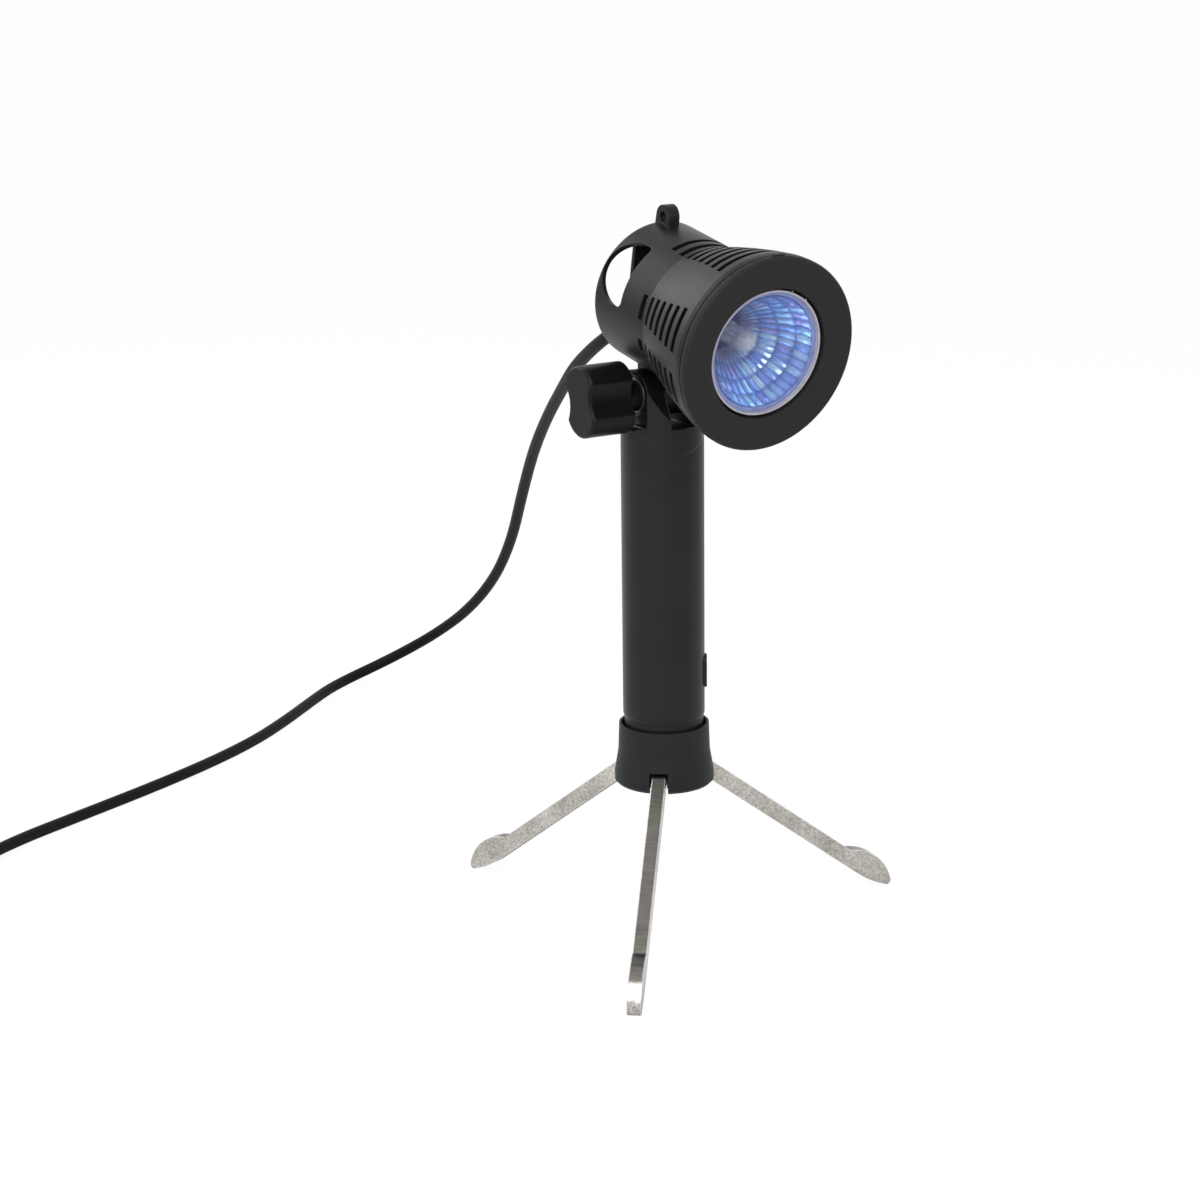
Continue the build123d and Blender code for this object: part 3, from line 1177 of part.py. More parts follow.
# The leg carrier inside the collar, slotted for the three legs
slot_top = PIVOT_HEIGHT + sqrt(2) * LEG_WEB_RISE + 2 * MOVING_GAP
with BuildPart() as leg_carrier:
    with BuildSketch(Plane.XY.offset(CARRIER_BOTTOM)):
        Circle(COLLAR_BORE - PLAY)
        Circle(BOLT_RADIUS + PLAY, mode=Mode.SUBTRACT)
    extrude(amount=CARRIER_HEIGHT)
    for clock in leg_clocks:
        out, aside, pivot = leg_frame(clock)
        with BuildSketch(Plane(origin=out * CARRIER_CORE, x_dir=aside, z_dir=out)):
            with Locations((0, slot_top / 2)):
                Rectangle(2 * slot_half, slot_top)
        extrude(amount=2 * POST_RADIUS, mode=Mode.SUBTRACT)
        with BuildSketch(Plane(origin=pivot, x_dir=out, z_dir=aside)):
            Circle(LEG_PIN_RADIUS + PIN_FIT)
        extrude(amount=LEG_PIN_HALF, both=True, mode=Mode.SUBTRACT)
leg_carrier.part.label = "leg_carrier"
export_step(leg_carrier.part, "parts/leg_carrier.step")

# The three hinge pins
with BuildPart() as leg_pins:
    for clock in leg_clocks:
        out, aside, pivot = leg_frame(clock)
        with BuildSketch(Plane(origin=pivot, x_dir=out, z_dir=aside)):
            Circle(LEG_PIN_RADIUS)
        extrude(amount=LEG_PIN_HALF, both=True)
leg_pins.part.label = "leg_pins"
export_step(leg_pins.part, "parts/leg_pins.step")

# Each leg is a folded steel channel, open below, that ends in a leaf-shaped foot
foot_start = LEG_LENGTH - FOOT_LENGTH
foot_hump = LEG_LENGTH - FOOT_HUMP_BACK
foot_heel = LEG_LENGTH - FOOT_HEEL_BACK
tip_low = (LEG_LENGTH, FOOT_TIP_RISE - FOOT_TIP_RADIUS)
tip_nose = (LEG_LENGTH + FOOT_TIP_RADIUS * cos(pi / 8), FOOT_TIP_RISE - FOOT_TIP_RADIUS * sin(pi / 8))
tip_top = (LEG_LENGTH + FOOT_TIP_RADIUS * sin(pi / 4), FOOT_TIP_RISE + FOOT_TIP_RADIUS * cos(pi / 4))
web_low = LEG_WEB_RISE - LEG_SHEET
foot_inner = (LEG_LENGTH - LEG_SHEET, FOOT_TIP_RISE)
for number, clock in enumerate(leg_clocks):
    out, aside, pivot = leg_frame(clock)
    along = out * cos(slope) - Vector(0, 0, sin(slope))
    leg_side = Plane(origin=pivot, x_dir=along, z_dir=aside * -1)
    with BuildPart() as leg:
        with BuildSketch(leg_side):
            with BuildLine():
                Line((0, LEG_WEB_RISE), (foot_start, LEG_WEB_RISE))
                ThreePointArc((foot_start, LEG_WEB_RISE), (foot_hump, FOOT_HUMP_RISE), tip_top)
                ThreePointArc(tip_top, tip_nose, tip_low)
                TangentArc((foot_heel, -LEG_FLANGE_DROP), tip_low, tangent=(1, 0))
                Line((foot_heel, -LEG_FLANGE_DROP), (0, -LEG_FLANGE_DROP))
                ThreePointArc((0, -LEG_FLANGE_DROP), (-LEG_WEB_RISE, 0), (0, LEG_WEB_RISE))
            make_face()
        extrude(amount=LEG_WIDTH / 2, both=True)
        # The channel's hollow, open underneath
        with BuildSketch(leg_side):
            with BuildLine():
                Line((-LEG_LENGTH / 4, web_low), (foot_start, web_low))
                ThreePointArc((foot_start, web_low), (foot_hump, FOOT_HUMP_RISE - LEG_SHEET), foot_inner)
                Polyline(
                    foot_inner,
                    (LEG_LENGTH - LEG_SHEET, -2 * LEG_FLANGE_DROP),
                    (-LEG_LENGTH / 4, -2 * LEG_FLANGE_DROP),
                    (-LEG_LENGTH / 4, web_low),
                )
            make_face()
        extrude(amount=LEG_WIDTH / 2 - LEG_SHEET, both=True, mode=Mode.SUBTRACT)
        with BuildSketch(leg_side):
            Circle(LEG_PIN_RADIUS + PLAY)
        extrude(amount=LEG_WIDTH, both=True, mode=Mode.SUBTRACT)
    leg.part.label = f"leg_{number + 1}"
    export_step(leg.part, f"parts/leg_{number + 1}.step")
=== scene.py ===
import math

import bpy
from mathutils import Matrix, Vector


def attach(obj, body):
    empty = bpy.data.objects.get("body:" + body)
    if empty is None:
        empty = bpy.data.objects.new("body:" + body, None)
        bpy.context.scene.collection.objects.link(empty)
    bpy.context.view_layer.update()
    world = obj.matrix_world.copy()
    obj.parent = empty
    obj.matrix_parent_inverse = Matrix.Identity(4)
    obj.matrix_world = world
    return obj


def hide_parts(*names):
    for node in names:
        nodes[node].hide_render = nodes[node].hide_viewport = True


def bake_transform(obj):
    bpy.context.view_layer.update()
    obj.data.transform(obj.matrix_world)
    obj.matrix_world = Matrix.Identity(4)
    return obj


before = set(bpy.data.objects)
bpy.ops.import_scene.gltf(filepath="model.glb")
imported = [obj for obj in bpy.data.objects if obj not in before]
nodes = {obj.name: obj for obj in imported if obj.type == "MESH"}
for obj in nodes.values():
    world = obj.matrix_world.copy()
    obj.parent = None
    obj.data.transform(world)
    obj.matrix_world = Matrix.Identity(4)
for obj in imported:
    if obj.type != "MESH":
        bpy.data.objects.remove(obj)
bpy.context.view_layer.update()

# The camera looks down on the lamp from its front left, through a long lens. Its place, heading
# and roll were found from the ring, the post, the collar and the three feet.
CAMERA_PLACE = Vector((-0.6205, -0.9468, 0.4433))
CAMERA_HEADING = math.radians(31.90)
CAMERA_DOWN = math.radians(14.91)
CAMERA_ROLL = math.radians(-0.69)
CAMERA_LENS = 84
CAMERA_SENSOR = 36
ahead = Vector(
    (
        math.sin(CAMERA_HEADING) * math.cos(CAMERA_DOWN),
        math.cos(CAMERA_HEADING) * math.cos(CAMERA_DOWN),
        -math.sin(CAMERA_DOWN),
    )
)
level = Vector((math.cos(CAMERA_HEADING), -math.sin(CAMERA_HEADING), 0))
above = level.cross(ahead)
right = level * math.cos(CAMERA_ROLL) + above * math.sin(CAMERA_ROLL)
top = above * math.cos(CAMERA_ROLL) - level * math.sin(CAMERA_ROLL)
camera = bpy.data.objects.new("camera", bpy.data.cameras.new("camera"))
camera.data.lens = CAMERA_LENS
camera.data.sensor_width = CAMERA_SENSOR
camera.matrix_world = Matrix.Translation(CAMERA_PLACE) @ Matrix((right, top, -ahead)).transposed().to_4x4()
bpy.context.scene.collection.objects.link(camera)
bpy.context.scene.camera = camera


# The mains cord is two cores in one smooth black sheath. It is clamped by the grip behind the head,
# hangs to the floor, and runs along it into a tied coil beside the plug.
class Wire:
    """One output of a tree's nodes. Sums on it add Math nodes."""

    def __init__(self, owner, socket):
        self.owner = owner
        self.socket = socket

    def maths(self, operation, other=0.0):
        return self.owner.add("ShaderNodeMath", {"operation": operation}, {0: self, 1: other})

    def after(self, operation, other):
        """The same, with this wire as the second term."""
        return self.owner.add("ShaderNodeMath", {"operation": operation}, {0: other, 1: self})

    def __add__(self, other):
        return self.maths("ADD", other)

    def __sub__(self, other):
        return self.maths("SUBTRACT", other)

    def __rsub__(self, other):
        return self.after("SUBTRACT", other)

    def __mul__(self, other):
        return self.maths("MULTIPLY", other)

    def __rtruediv__(self, other):
        return self.after("DIVIDE", other)

    def __pow__(self, other):
        return self.maths("POWER", other)

    __radd__ = __add__
    __rmul__ = __mul__


class Tree:
    """A tree of nodes: of a material, of the world, or of a shape."""

    def __init__(self, tree):
        self.tree = tree
        self.tree.nodes.clear()

    def add(self, kind, settings, inputs, output=0):
        """Any node: its settings first, then a value or a wire for each input."""
        node = self.tree.nodes.new(kind)
        for name, value in settings.items():
            if name == "stops":
                ramp = node.color_ramp.elements
                while len(ramp) < len(value):
                    ramp.new(1.0)
                for stop, (position, colour) in zip(ramp, value):
                    stop.position = position
                    stop.color = (*colour, 1)
            else:
                setattr(node, name, value)
        for key, value in inputs.items():
            if isinstance(value, Wire):
                self.tree.links.new(value.socket, node.inputs[key])
            else:
                node.inputs[key].default_value = value
        return Wire(self, node.outputs[output]) if node.outputs else None


class Finish(Tree):
    """One material. Its pattern sits on the piece's own coordinates."""

    def __init__(self, name):
        self.material = bpy.data.materials.new(name)
        self.material.use_nodes = True
        super().__init__(self.material.node_tree)
        self.place = self.add("ShaderNodeTexCoord", {}, {}, "Object")

    def noise(self, scale, detail=2.0):
        """A soft random field with lumps of about one over scale metres."""
        return self.add(
            "ShaderNodeTexNoise", {}, {"Vector": self.place, "Scale": scale, "Detail": detail}
        )

    def mixed(self, share, low, high):
        """A colour from low to high, each a wire or plain red, green and blue."""
        first, second = [colour if isinstance(colour, Wire) else (*colour, 1) for colour in (low, high)]
        return self.add("ShaderNodeMix", {"data_type": "RGBA"}, {0: share, 6: first, 7: second}, 2)

    def dot(self, first, second):
        return self.add("ShaderNodeVectorMath", {"operation": "DOT_PRODUCT"}, {0: first, 1: second}, "Value")

    def worn_edge(self, radius, gain, most, samples=6):
        """Nought on a flat face, rising to most where an edge of that radius bends the surface."""
        rounded = self.add("ShaderNodeBevel", {"samples": samples}, {"Radius": radius})
        flat = self.add("ShaderNodeNewGeometry", {}, {}, "Normal")
        return ((1 - self.dot(rounded, flat)) * gain).maths("MINIMUM", most)

    def bumped(self, height, distance, strength, edge=0.0):
        """The surface's normal with a fine relief, over edges rounded by that radius."""
        inputs = {"Height": height, "Distance": distance, "Strength": strength}
        if edge:
            inputs["Normal"] = self.add("ShaderNodeBevel", {"samples": 6}, {"Radius": edge})
        return self.add("ShaderNodeBump", {}, inputs)

    def surface(self, inputs):
        """The finished material."""
        shader = self.add("ShaderNodeBsdfPrincipled", {}, inputs)
        self.add("ShaderNodeOutputMaterial", {}, {"Surface": shader})
        return self.material


def sheath():
    """Smooth black cable sheath with a soft shine and faint clouds."""
    finish = Finish("cord_sheath")
    cloud = finish.noise(45)
    fine = finish.noise(900, 3)
    return finish.surface(
        {
            "Base Color": finish.mixed(cloud, (0.003, 0.003, 0.004), (0.007, 0.007, 0.008)),
            "Roughness": 0.42 + 0.16 * fine,
            "Normal": finish.bumped(fine, distance=0.00004, strength=0.4),
            "Specular IOR Level": 0.08,
        }
    )


# The first sixteen points lie on the cord seen in the photograph. How far back they lie, and all
# the points after them, are guessed.
CORD_RADIUS = 0.0028
GRIP_TIP = Vector((0, 0.029437, 0.253584))
GRIP_WAY = Vector((0, 0.891007, -0.453990))
CORD_FIRST_RUN = 0.014
CORD_POINTS = [
    (0.004, 0.062, 0.238),
    (0.011, 0.087, 0.226),
    (0.023, 0.117, 0.211),
    (0.0359, 0.1523, 0.191),
    (0.0513, 0.1917, 0.166),
    (0.0677, 0.2314, 0.135),
    (0.0823, 0.2674, 0.103),
    (0.091, 0.301, 0.074),
    (0.093, 0.334, 0.049),
    (0.089, 0.361, 0.031),
    (0.080, 0.380, 0.018),
    (0.066, 0.390, 0.009),
    (0.049, 0.391, 0.004),
    (0.031, 0.382, 0.0028),
    (0.011, 0.365, 0.0028),
    (-0.014, 0.343, 0.0028),
    (-0.043, 0.320, 0.0028),
    (-0.078, 0.299, 0.0028),
    (-0.119, 0.279, 0.0028),
    (-0.165, 0.259, 0.0028),
    (-0.203, 0.240, 0.0039),
    (-0.235, 0.220, 0.0039),
]
route = [GRIP_TIP, GRIP_TIP + GRIP_WAY * CORD_FIRST_RUN] + [Vector(point) for point in CORD_POINTS]

# The put-away length spirals in on the floor, climbs in one half turn and spirals out on top.
COIL_MEAN_RADIUS = 0.0308
COIL_PITCH = 0.00625
COIL_LAYER = 0.00605
COIL_QUARTERS = 18
COIL_STEPS = 4
coil_way = (route[-1] - route[-2]).normalized()
wide = COIL_MEAN_RADIUS + COIL_PITCH * (COIL_QUARTERS - 2) / 16
coil_lead = math.atan2(COIL_PITCH / (2 * math.pi), wide)
coil_out = Matrix.Rotation(math.pi / 2 + coil_lead, 3, "Z") @ coil_way
coil_start = route[-1] + coil_way * 2 * CORD_RADIUS
coil_centre = coil_start - coil_out * wide
standoff = 1 / math.cos(math.pi / (4 * COIL_STEPS))
for step in range(COIL_QUARTERS * COIL_STEPS):
    quarter = (step + 0.5) / COIL_STEPS
    beyond = quarter - COIL_QUARTERS / 2
    inward = COIL_QUARTERS / 2 - abs(beyond)
    if abs(beyond) < 1:
        inward = (COIL_QUARTERS - 1 - beyond * beyond) / 2
    climb = min(1, max(0, (beyond + 1) / 2))
    rise = COIL_LAYER * climb * climb * (3 - 2 * climb)
    out = Matrix.Rotation(-math.pi / 2 * quarter, 3, "Z") @ coil_out
    route.append(coil_centre + out * (wide - COIL_PITCH * inward / 4) * standoff + Vector((0, 0, rise)))

# The tail leaves the coil's top layer and comes down to the plug's middle.
TAIL_RUN = 0.012
TAIL_TURN = math.radians(12)
PLUG_MIDDLE = 0.007
end_out = Matrix.Rotation(-math.pi / 2 * COIL_QUARTERS, 3, "Z") @ coil_out
tail_way = Matrix.Rotation(coil_lead - math.pi / 2, 3, "Z") @ end_out
tail = coil_centre + end_out * wide + Vector((0, 0, COIL_LAYER)) + tail_way * 2 * CORD_RADIUS
tail_drop = tail.z - PLUG_MIDDLE
route.append(tail)
for drop in (0, tail_drop / 2, tail_drop / 2, 0):
    tail = tail + tail_way * TAIL_RUN - Vector((0, 0, drop))
    route.append(tail)
    tail_way = Matrix.Rotation(TAIL_TURN, 3, "Z") @ tail_way

line = bpy.data.curves.new("cord", "CURVE")
line.dimensions = "3D"
spline = line.splines.new("NURBS")
spline.points.add(len(route) - 1)
for point, place in zip(spline.points, route):
    point.co = (*place, 1)
spline.order_u = 3
spline.use_endpoint_u = True
spline.resolution_u = 10
drawn = bpy.data.objects.new("cord_line", line)
bpy.context.scene.collection.objects.link(drawn)
bpy.context.view_layer.update()
centre_line = bpy.data.meshes.new_from_object(drawn.evaluated_get(bpy.context.evaluated_depsgraph_get()))
line.bevel_depth = CORD_RADIUS
line.bevel_resolution = 5
line.use_fill_caps = True
bpy.context.view_layer.update()
tube = bpy.data.meshes.new_from_object(drawn.evaluated_get(bpy.context.evaluated_depsgraph_get()))
tube.name = "mains_cord"
bpy.data.objects.remove(drawn)
cord = bpy.data.objects.new("mains_cord", tube)
bpy.context.scene.collection.objects.link(cord)
cord_sheath = sheath()
tube.materials.clear()
tube.materials.append(cord_sheath)
for face in tube.polygons:
    face.use_smooth = True
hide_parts("cord_run", "cord_coil", "cord_tail")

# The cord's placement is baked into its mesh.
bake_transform(cord)


# The grip behind the head, the tie round the coil and the flat plug are moulded in the same soft
# black plastic as the sheath, a little duller. The plug's two pins are nickel plated brass.
def moulding(name, dark, light, roughness, grain_scale, grain_depth, edge, shine=0.28):
    """Moulded plastic: faint flow clouds, a spark-eroded grain, and edges rubbed a little lighter."""
    finish = Finish(name)
    cloud = finish.noise(22, 3)
    grain = finish.noise(grain_scale)
    rubbed = finish.worn_edge(edge, gain=2.0, most=0.5)
    return finish.surface(
        {
            "Base Color": finish.mixed(0.75 * cloud + rubbed, dark, light),
            "Roughness": roughness + 0.10 * (cloud - 0.5) + 0.08 * (grain - 0.5),
            "Normal": finish.bumped(grain, grain_depth, 0.6, edge),
            "Specular IOR Level": shine,
        }
    )


def plated(name, dark, light, roughness):
    """Plated metal with a fine grain and a few duller patches."""
    finish = Finish(name)
    grain = finish.noise(700, 3)
    patch = finish.noise(60, 3)
    return finish.surface(
        {
            "Base Color": finish.mixed(patch, dark, light),
            "Metallic": 1.0,
            "Roughness": roughness + 0.12 * (grain - 0.5) + 0.10 * (patch - 0.5),
            "Normal": finish.bumped(grain, distance=0.00001, strength=0.5, edge=0.0004),
        }
    )


def dress(material, *names):
    """Gives the named pieces their finish."""
    for name in names:
        mesh = nodes[name].data
        mesh.materials.clear()
        mesh.materials.append(material)


grip_grain = moulding(
    "grip_grain",
    dark=(0.006, 0.006, 0.007),
    light=(0.013, 0.013, 0.014),
    roughness=0.55,
    grain_scale=1500,
    grain_depth=0.00003,
    edge=0.0004,
)
plug_grain = moulding(
    "plug_grain",
    dark=(0.006, 0.006, 0.007),
    light=(0.014, 0.014, 0.015),
    roughness=0.45,
    grain_scale=2200,
    grain_depth=0.00003,
    edge=0.0006,
)
pin_nickel = plated("pin_nickel", dark=(0.55, 0.53, 0.48), light=(0.70, 0.68, 0.62), roughness=0.22)
dress(grip_grain, "cord_grip", "cord_tie")
dress(plug_grain, "plug_body")
dress(pin_nickel, "plug_pins")


# The head's shell is one injection moulding in black plastic: a tube that flares to its mouth, with
# cooling slits, two windows, a hanging loop and the tilt lug. Its skin is satin, finely grained.
head_grain = moulding(
    "head_grain",
    dark=(0.005, 0.005, 0.006),
    light=(0.014, 0.014, 0.015),
    roughness=0.38,
    grain_scale=2600,
    grain_depth=0.00003,
    edge=0.0005,
    shine=0.17,
)
dress(head_grain, "head_shell")


# The front ring is a flat moulded disc of black plastic that clips into the shell's mouth, in front
# of the lamp's rim. Its face is matt, a little greyer than the shell.
ring_grain = moulding(
    "ring_grain",
    dark=(0.009, 0.009, 0.010),
    light=(0.015, 0.015, 0.016),
    roughness=0.60,
    grain_scale=3200,
    grain_depth=0.00003,
    edge=0.0006,
    shine=0.21,
)
dress(ring_grain, "front_ring")


# The lamp's reflector is pressed glass, clear at its rim and smooth outside. Its bowl carries a
# dichroic coating over rings of small domed facets, which throws back blue and violet light.
HEAD_TILT = math.radians(11)
PIVOT_BACK = 0.070
LAMP_RISE = 0.040
TILT_HEIGHT = 0.230
SEAT_RADIUS = 0.0246
SEAT_EDGE = 0.0002
BOWL_RIM = (0.0226, 0.0044)
BOWL_WAIST = (0.0176, 0.0168)
BOWL_NECK = (0.0069, 0.0310)
BLUE_SIDE = 0.90
FACETS = {"Sectors": 40, "Rings": 4, "Cuts": 6, "Dome": 0.0004, "Seed": 7}
RING_NUMBER_STEP = 1000
shine_way = Vector((0, -math.cos(HEAD_TILT), -math.sin(HEAD_TILT)))
head_up = Vector((0, -math.sin(HEAD_TILT), math.cos(HEAD_TILT)))
ring_centre = Vector((0, 0, TILT_HEIGHT)) + shine_way * PIVOT_BACK + head_up * LAMP_RISE


def pressed_glass():
    """Pressed glass: grey and clear beyond the seat, blue from the coating inside it."""
    finish = Finish("pressed_glass")
    streak = finish.noise(160, 3)
    reach = finish.add("ShaderNodeVectorMath", {"operation": "SUBTRACT"}, {0: finish.place, 1: ring_centre})
    sunk = finish.dot(reach, shine_way)
    whole = finish.add("ShaderNodeVectorMath", {"operation": "LENGTH"}, {0: reach}, "Value")
    out = (whole * whole - sunk * sunk) ** 0.5
    rim = finish.add(
        "ShaderNodeMapRange", {}, {"Value": out, "From Min": SEAT_RADIUS - SEAT_EDGE, "From Max": SEAT_RADIUS}
    )
    clear = finish.mixed(streak, (0.28, 0.27, 0.31), (0.50, 0.48, 0.54))
    coated = finish.mixed(streak, (0.10, 0.14, 0.42), (0.30, 0.38, 0.72))
    return finish.surface(
        {
            "Base Color": finish.mixed(rim, coated, clear),
            "Roughness": 0.10 + 0.10 * streak,
            "Specular IOR Level": 0.6,
            "Normal": finish.bumped(streak, distance=0.0001, strength=0.4, edge=0.0003),
        }
    )


def dichroic():
    """A mirror coating: blue on one side, violet on the other, each facet a little different, with painted
    shade along the facet borders.
    """
    finish = Finish("dichroic_coating")
    tint, turn, dome, depth = [
        finish.add("ShaderNodeAttribute", {"attribute_name": name}, {}, "Fac")
        for name in ("tint", "turn", "dome", "depth")
    ]
    wash = finish.noise(70)
    side = ((turn - BLUE_SIDE) * (2 * math.pi)).maths("COSINE")
    hue = finish.add(
        "ShaderNodeValToRGB",
        {
            "stops": [
                (0.0, (0.22, 0.20, 0.46)),
                (0.16, (0.44, 0.38, 0.72)),
                (0.30, (0.66, 0.58, 0.86)),
                (0.46, (0.38, 0.52, 0.90)),
                (0.66, (0.50, 0.74, 1.0)),
                (0.84, (0.70, 0.94, 1.0)),
                (1.0, (1.0, 1.0, 1.0)),
            ]
        },
        {"Fac": 0.51 + 0.20 * side + 0.50 * (tint - 0.5) + 0.5 * (wash - 0.5) - 0.10 * depth},
        "Color",
    )
    # The facet borders are darkened towards deep blue: painted shade in the creases between facets.
    groove_painted_shade = (1 - dome) ** 3
    fluted_painted_shade = finish.mixed(0.6 * groove_painted_shade, hue, (0.05, 0.10, 0.42))
    bare = finish.add(
        "ShaderNodeMapRange", {}, {"Value": depth + 0.4 * (wash - 0.5), "From Min": 0.70, "From Max": 0.92}
    )
    fine = finish.noise(500)
    return finish.surface(
        {
            "Base Color": finish.mixed(0.8 * bare, fluted_painted_shade, (0.34, 0.31, 0.36)),
            "Metallic": 0.85,
            "Roughness": 0.12 + 0.12 * tint,
            "Normal": finish.bumped(fine, distance=0.00003, strength=0.5),
            "Coat Weight": 0.35 + 0.3 * wash,
        }
    )


# The bowl's outline is the circle through its rim, waist and neck.
(ax, ay), (bx, by), (cx, cy) = BOWL_RIM, BOWL_WAIST, BOWL_NECK
twice = 2 * (ax * (by - cy) + bx * (cy - ay) + cx * (ay - by))
squares = [x * x + y * y for x, y in (BOWL_RIM, BOWL_WAIST, BOWL_NECK)]
arc_x = (squares[0] * (by - cy) + squares[1] * (cy - ay) + squares[2] * (ay - by)) / twice
arc_y = (squares[0] * (cx - bx) + squares[1] * (ax - cx) + squares[2] * (bx - ax)) / twice
arc_radius = math.hypot(ax - arc_x, ay - arc_y)
arc_start = math.atan2(ay - arc_y, ax - arc_x)
arc_turn = (math.atan2(cy - arc_y, cx - arc_x) - arc_start + math.pi) % (2 * math.pi) - math.pi

# One domed cell is repeated over a flat unit sheet, and the sheet is then wrapped round the bowl.
group = bpy.data.node_groups.new("facets", "GeometryNodeTree")
for name, value in FACETS.items():
    kind = "NodeSocketFloat" if isinstance(value, float) else "NodeSocketInt"
    group.interface.new_socket(name, in_out="INPUT", socket_type=kind)
group.interface.new_socket("Coating", in_out="INPUT", socket_type="NodeSocketMaterial")
group.interface.new_socket("Mesh", in_out="OUTPUT", socket_type="NodeSocketGeometry")
shape = Tree(group)
given = {name: shape.add("NodeGroupInput", {}, {}, name) for name in (*FACETS, "Coating")}
place = shape.add("GeometryNodeInputPosition", {}, {})
across_cell = shape.add("ShaderNodeSeparateXYZ", {}, {0: place}, 0)
along_cell = shape.add("ShaderNodeSeparateXYZ", {}, {0: place}, 1)
cell = shape.add(
    "GeometryNodeMeshGrid",
    {},
    {"Size X": 1.0, "Size Y": 1.0, "Vertices X": given["Cuts"], "Vertices Y": given["Cuts"]},
)
domed = (across_cell * math.pi).maths("COSINE") * (along_cell * math.pi).maths("COSINE")
cell = shape.add(
    "GeometryNodeStoreNamedAttribute",
    {"data_type": "FLOAT", "domain": "POINT"},
    {"Geometry": cell, "Name": "dome", "Value": domed},
)
sheet = shape.add(
    "GeometryNodeMeshGrid",
    {},
    {
        "Size X": 1 - 1 / given["Sectors"],
        "Size Y": 1 - 1 / given["Rings"],
        "Vertices X": given["Sectors"],
        "Vertices Y": given["Rings"],
    },
)
cell_size = shape.add("ShaderNodeCombineXYZ", {}, {0: 1 / given["Sectors"], 1: 1 / given["Rings"], 2: 1.0})
cells = shape.add("GeometryNodeInstanceOnPoints", {}, {"Points": sheet, "Instance": cell, "Scale": cell_size})
cells = shape.add("GeometryNodeRealizeInstances", {}, {"Geometry": cells})
turn = across_cell + 0.5
depth = along_cell + 0.5
sector = (turn * given["Sectors"]).maths("FLOOR")
ring = (depth * given["Rings"]).maths("FLOOR")
facet_number = sector + RING_NUMBER_STEP * ring
tint = shape.add(
    "FunctionNodeRandomValue", {"data_type": "FLOAT"}, {"ID": facet_number, "Seed": given["Seed"]}, 1
)
for name, value in (("turn", turn), ("depth", depth), ("tint", tint)):
    cells = shape.add(
        "GeometryNodeStoreNamedAttribute",
        {"data_type": "FLOAT", "domain": "FACE"},
        {"Geometry": cells, "Name": name, "Value": value},
    )
dome = shape.add("GeometryNodeInputNamedAttribute", {"data_type": "FLOAT"}, {"Name": "dome"})
slant = arc_start + arc_turn * depth
lift = dome * given["Dome"]
radius = arc_x + (arc_radius - lift) * slant.maths("COSINE")
back = arc_y + (arc_radius - lift) * slant.maths("SINE")
clock = turn * (2 * math.pi)
wrapped = shape.add(
    "ShaderNodeCombineXYZ",
    {},
    {0: radius * clock.maths("COSINE"), 1: radius * clock.maths("SINE"), 2: -1 * back},
)
cells = shape.add("GeometryNodeSetPosition", {}, {"Geometry": cells, "Position": wrapped})
cells = shape.add("GeometryNodeSetShadeSmooth", {}, {"Geometry": cells})
cells = shape.add("GeometryNodeSetMaterial", {}, {"Geometry": cells, "Material": given["Coating"]})
shape.add("NodeGroupOutput", {}, {"Mesh": cells})

coating = bpy.data.objects.new("facet_coating", bpy.data.meshes.new("facet_seed"))
bpy.context.scene.collection.objects.link(coating)
grown = coating.modifiers.new("facets", "NODES")
grown.node_group = group
sockets = {item.name: item.identifier for item in group.interface.items_tree if item.in_out == "INPUT"}
for name, value in FACETS.items():
    grown[sockets[name]] = value
grown[sockets["Coating"]] = dichroic()
bpy.context.view_layer.update()
facets = bpy.data.meshes.new_from_object(coating.evaluated_get(bpy.context.evaluated_depsgraph_get()))
coating.modifiers.remove(grown)
coating.data = facets
bowl_axes = Matrix((Vector((1, 0, 0)), head_up, shine_way)).transposed().to_4x4()
facets.transform(Matrix.Translation(ring_centre) @ bowl_axes)
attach(coating, "lamp")
dress(pressed_glass(), "lamp_reflector")


# The cover glass is a flat disc of clear glass, set in the reflector's rim. The capsule is clear
# quartz, pinched flat at its root, with a tungsten coil inside. Its pale cyan-white colour is a painted
# highlight.
def clear_glass(name, alpha, colour, haze):
    """Thin clear glass: mostly see-through, with its own reflections and faint streaks."""
    finish = Finish(name)
    streak = finish.noise(90)
    return finish.surface(
        {
            "Base Color": finish.mixed(streak, colour, haze),
            "Roughness": 0.03 + 0.04 * streak,
            "Alpha": alpha + 0.04 * streak,
            "Specular IOR Level": 0.7,
        }
    )


cover_glass = clear_glass("cover_glass", alpha=0.03, colour=(0.05, 0.06, 0.08), haze=(0.20, 0.22, 0.26))
# The capsule's pale cyan-white colour is a painted highlight on clear quartz.
quartz = clear_glass("quartz", alpha=0.24, colour=(0.80, 0.92, 1.0), haze=(1.0, 1.0, 1.0))
tungsten = plated("tungsten", dark=(0.30, 0.29, 0.28), light=(0.45, 0.44, 0.42), roughness=0.4)
dress(cover_glass, "lamp_front_glass")
dress(quartz, "lamp_capsule")
dress(tungsten, "lamp_filament")


# The lamp's base and its holder are dry-pressed white ceramic. The lamp's two pins are nickel
# plated, and the holder's contacts are brass springs.
def ceramic():
    """Unglazed steatite: off white, matt, with a fine bisque texture and a few grey specks."""
    finish = Finish("ceramic")
    fine = finish.noise(1800, 3)
    spotted = finish.noise(420, 1).maths("GREATER_THAN", 0.70)
    return finish.surface(
        {
            "Base Color": finish.mixed(spotted * 0.5, (0.72, 0.70, 0.63), (0.46, 0.44, 0.40)),
            "Roughness": 0.55 + 0.2 * fine,
            "Normal": finish.bumped(fine, distance=0.00004, strength=0.6, edge=0.0003),
        }
    )


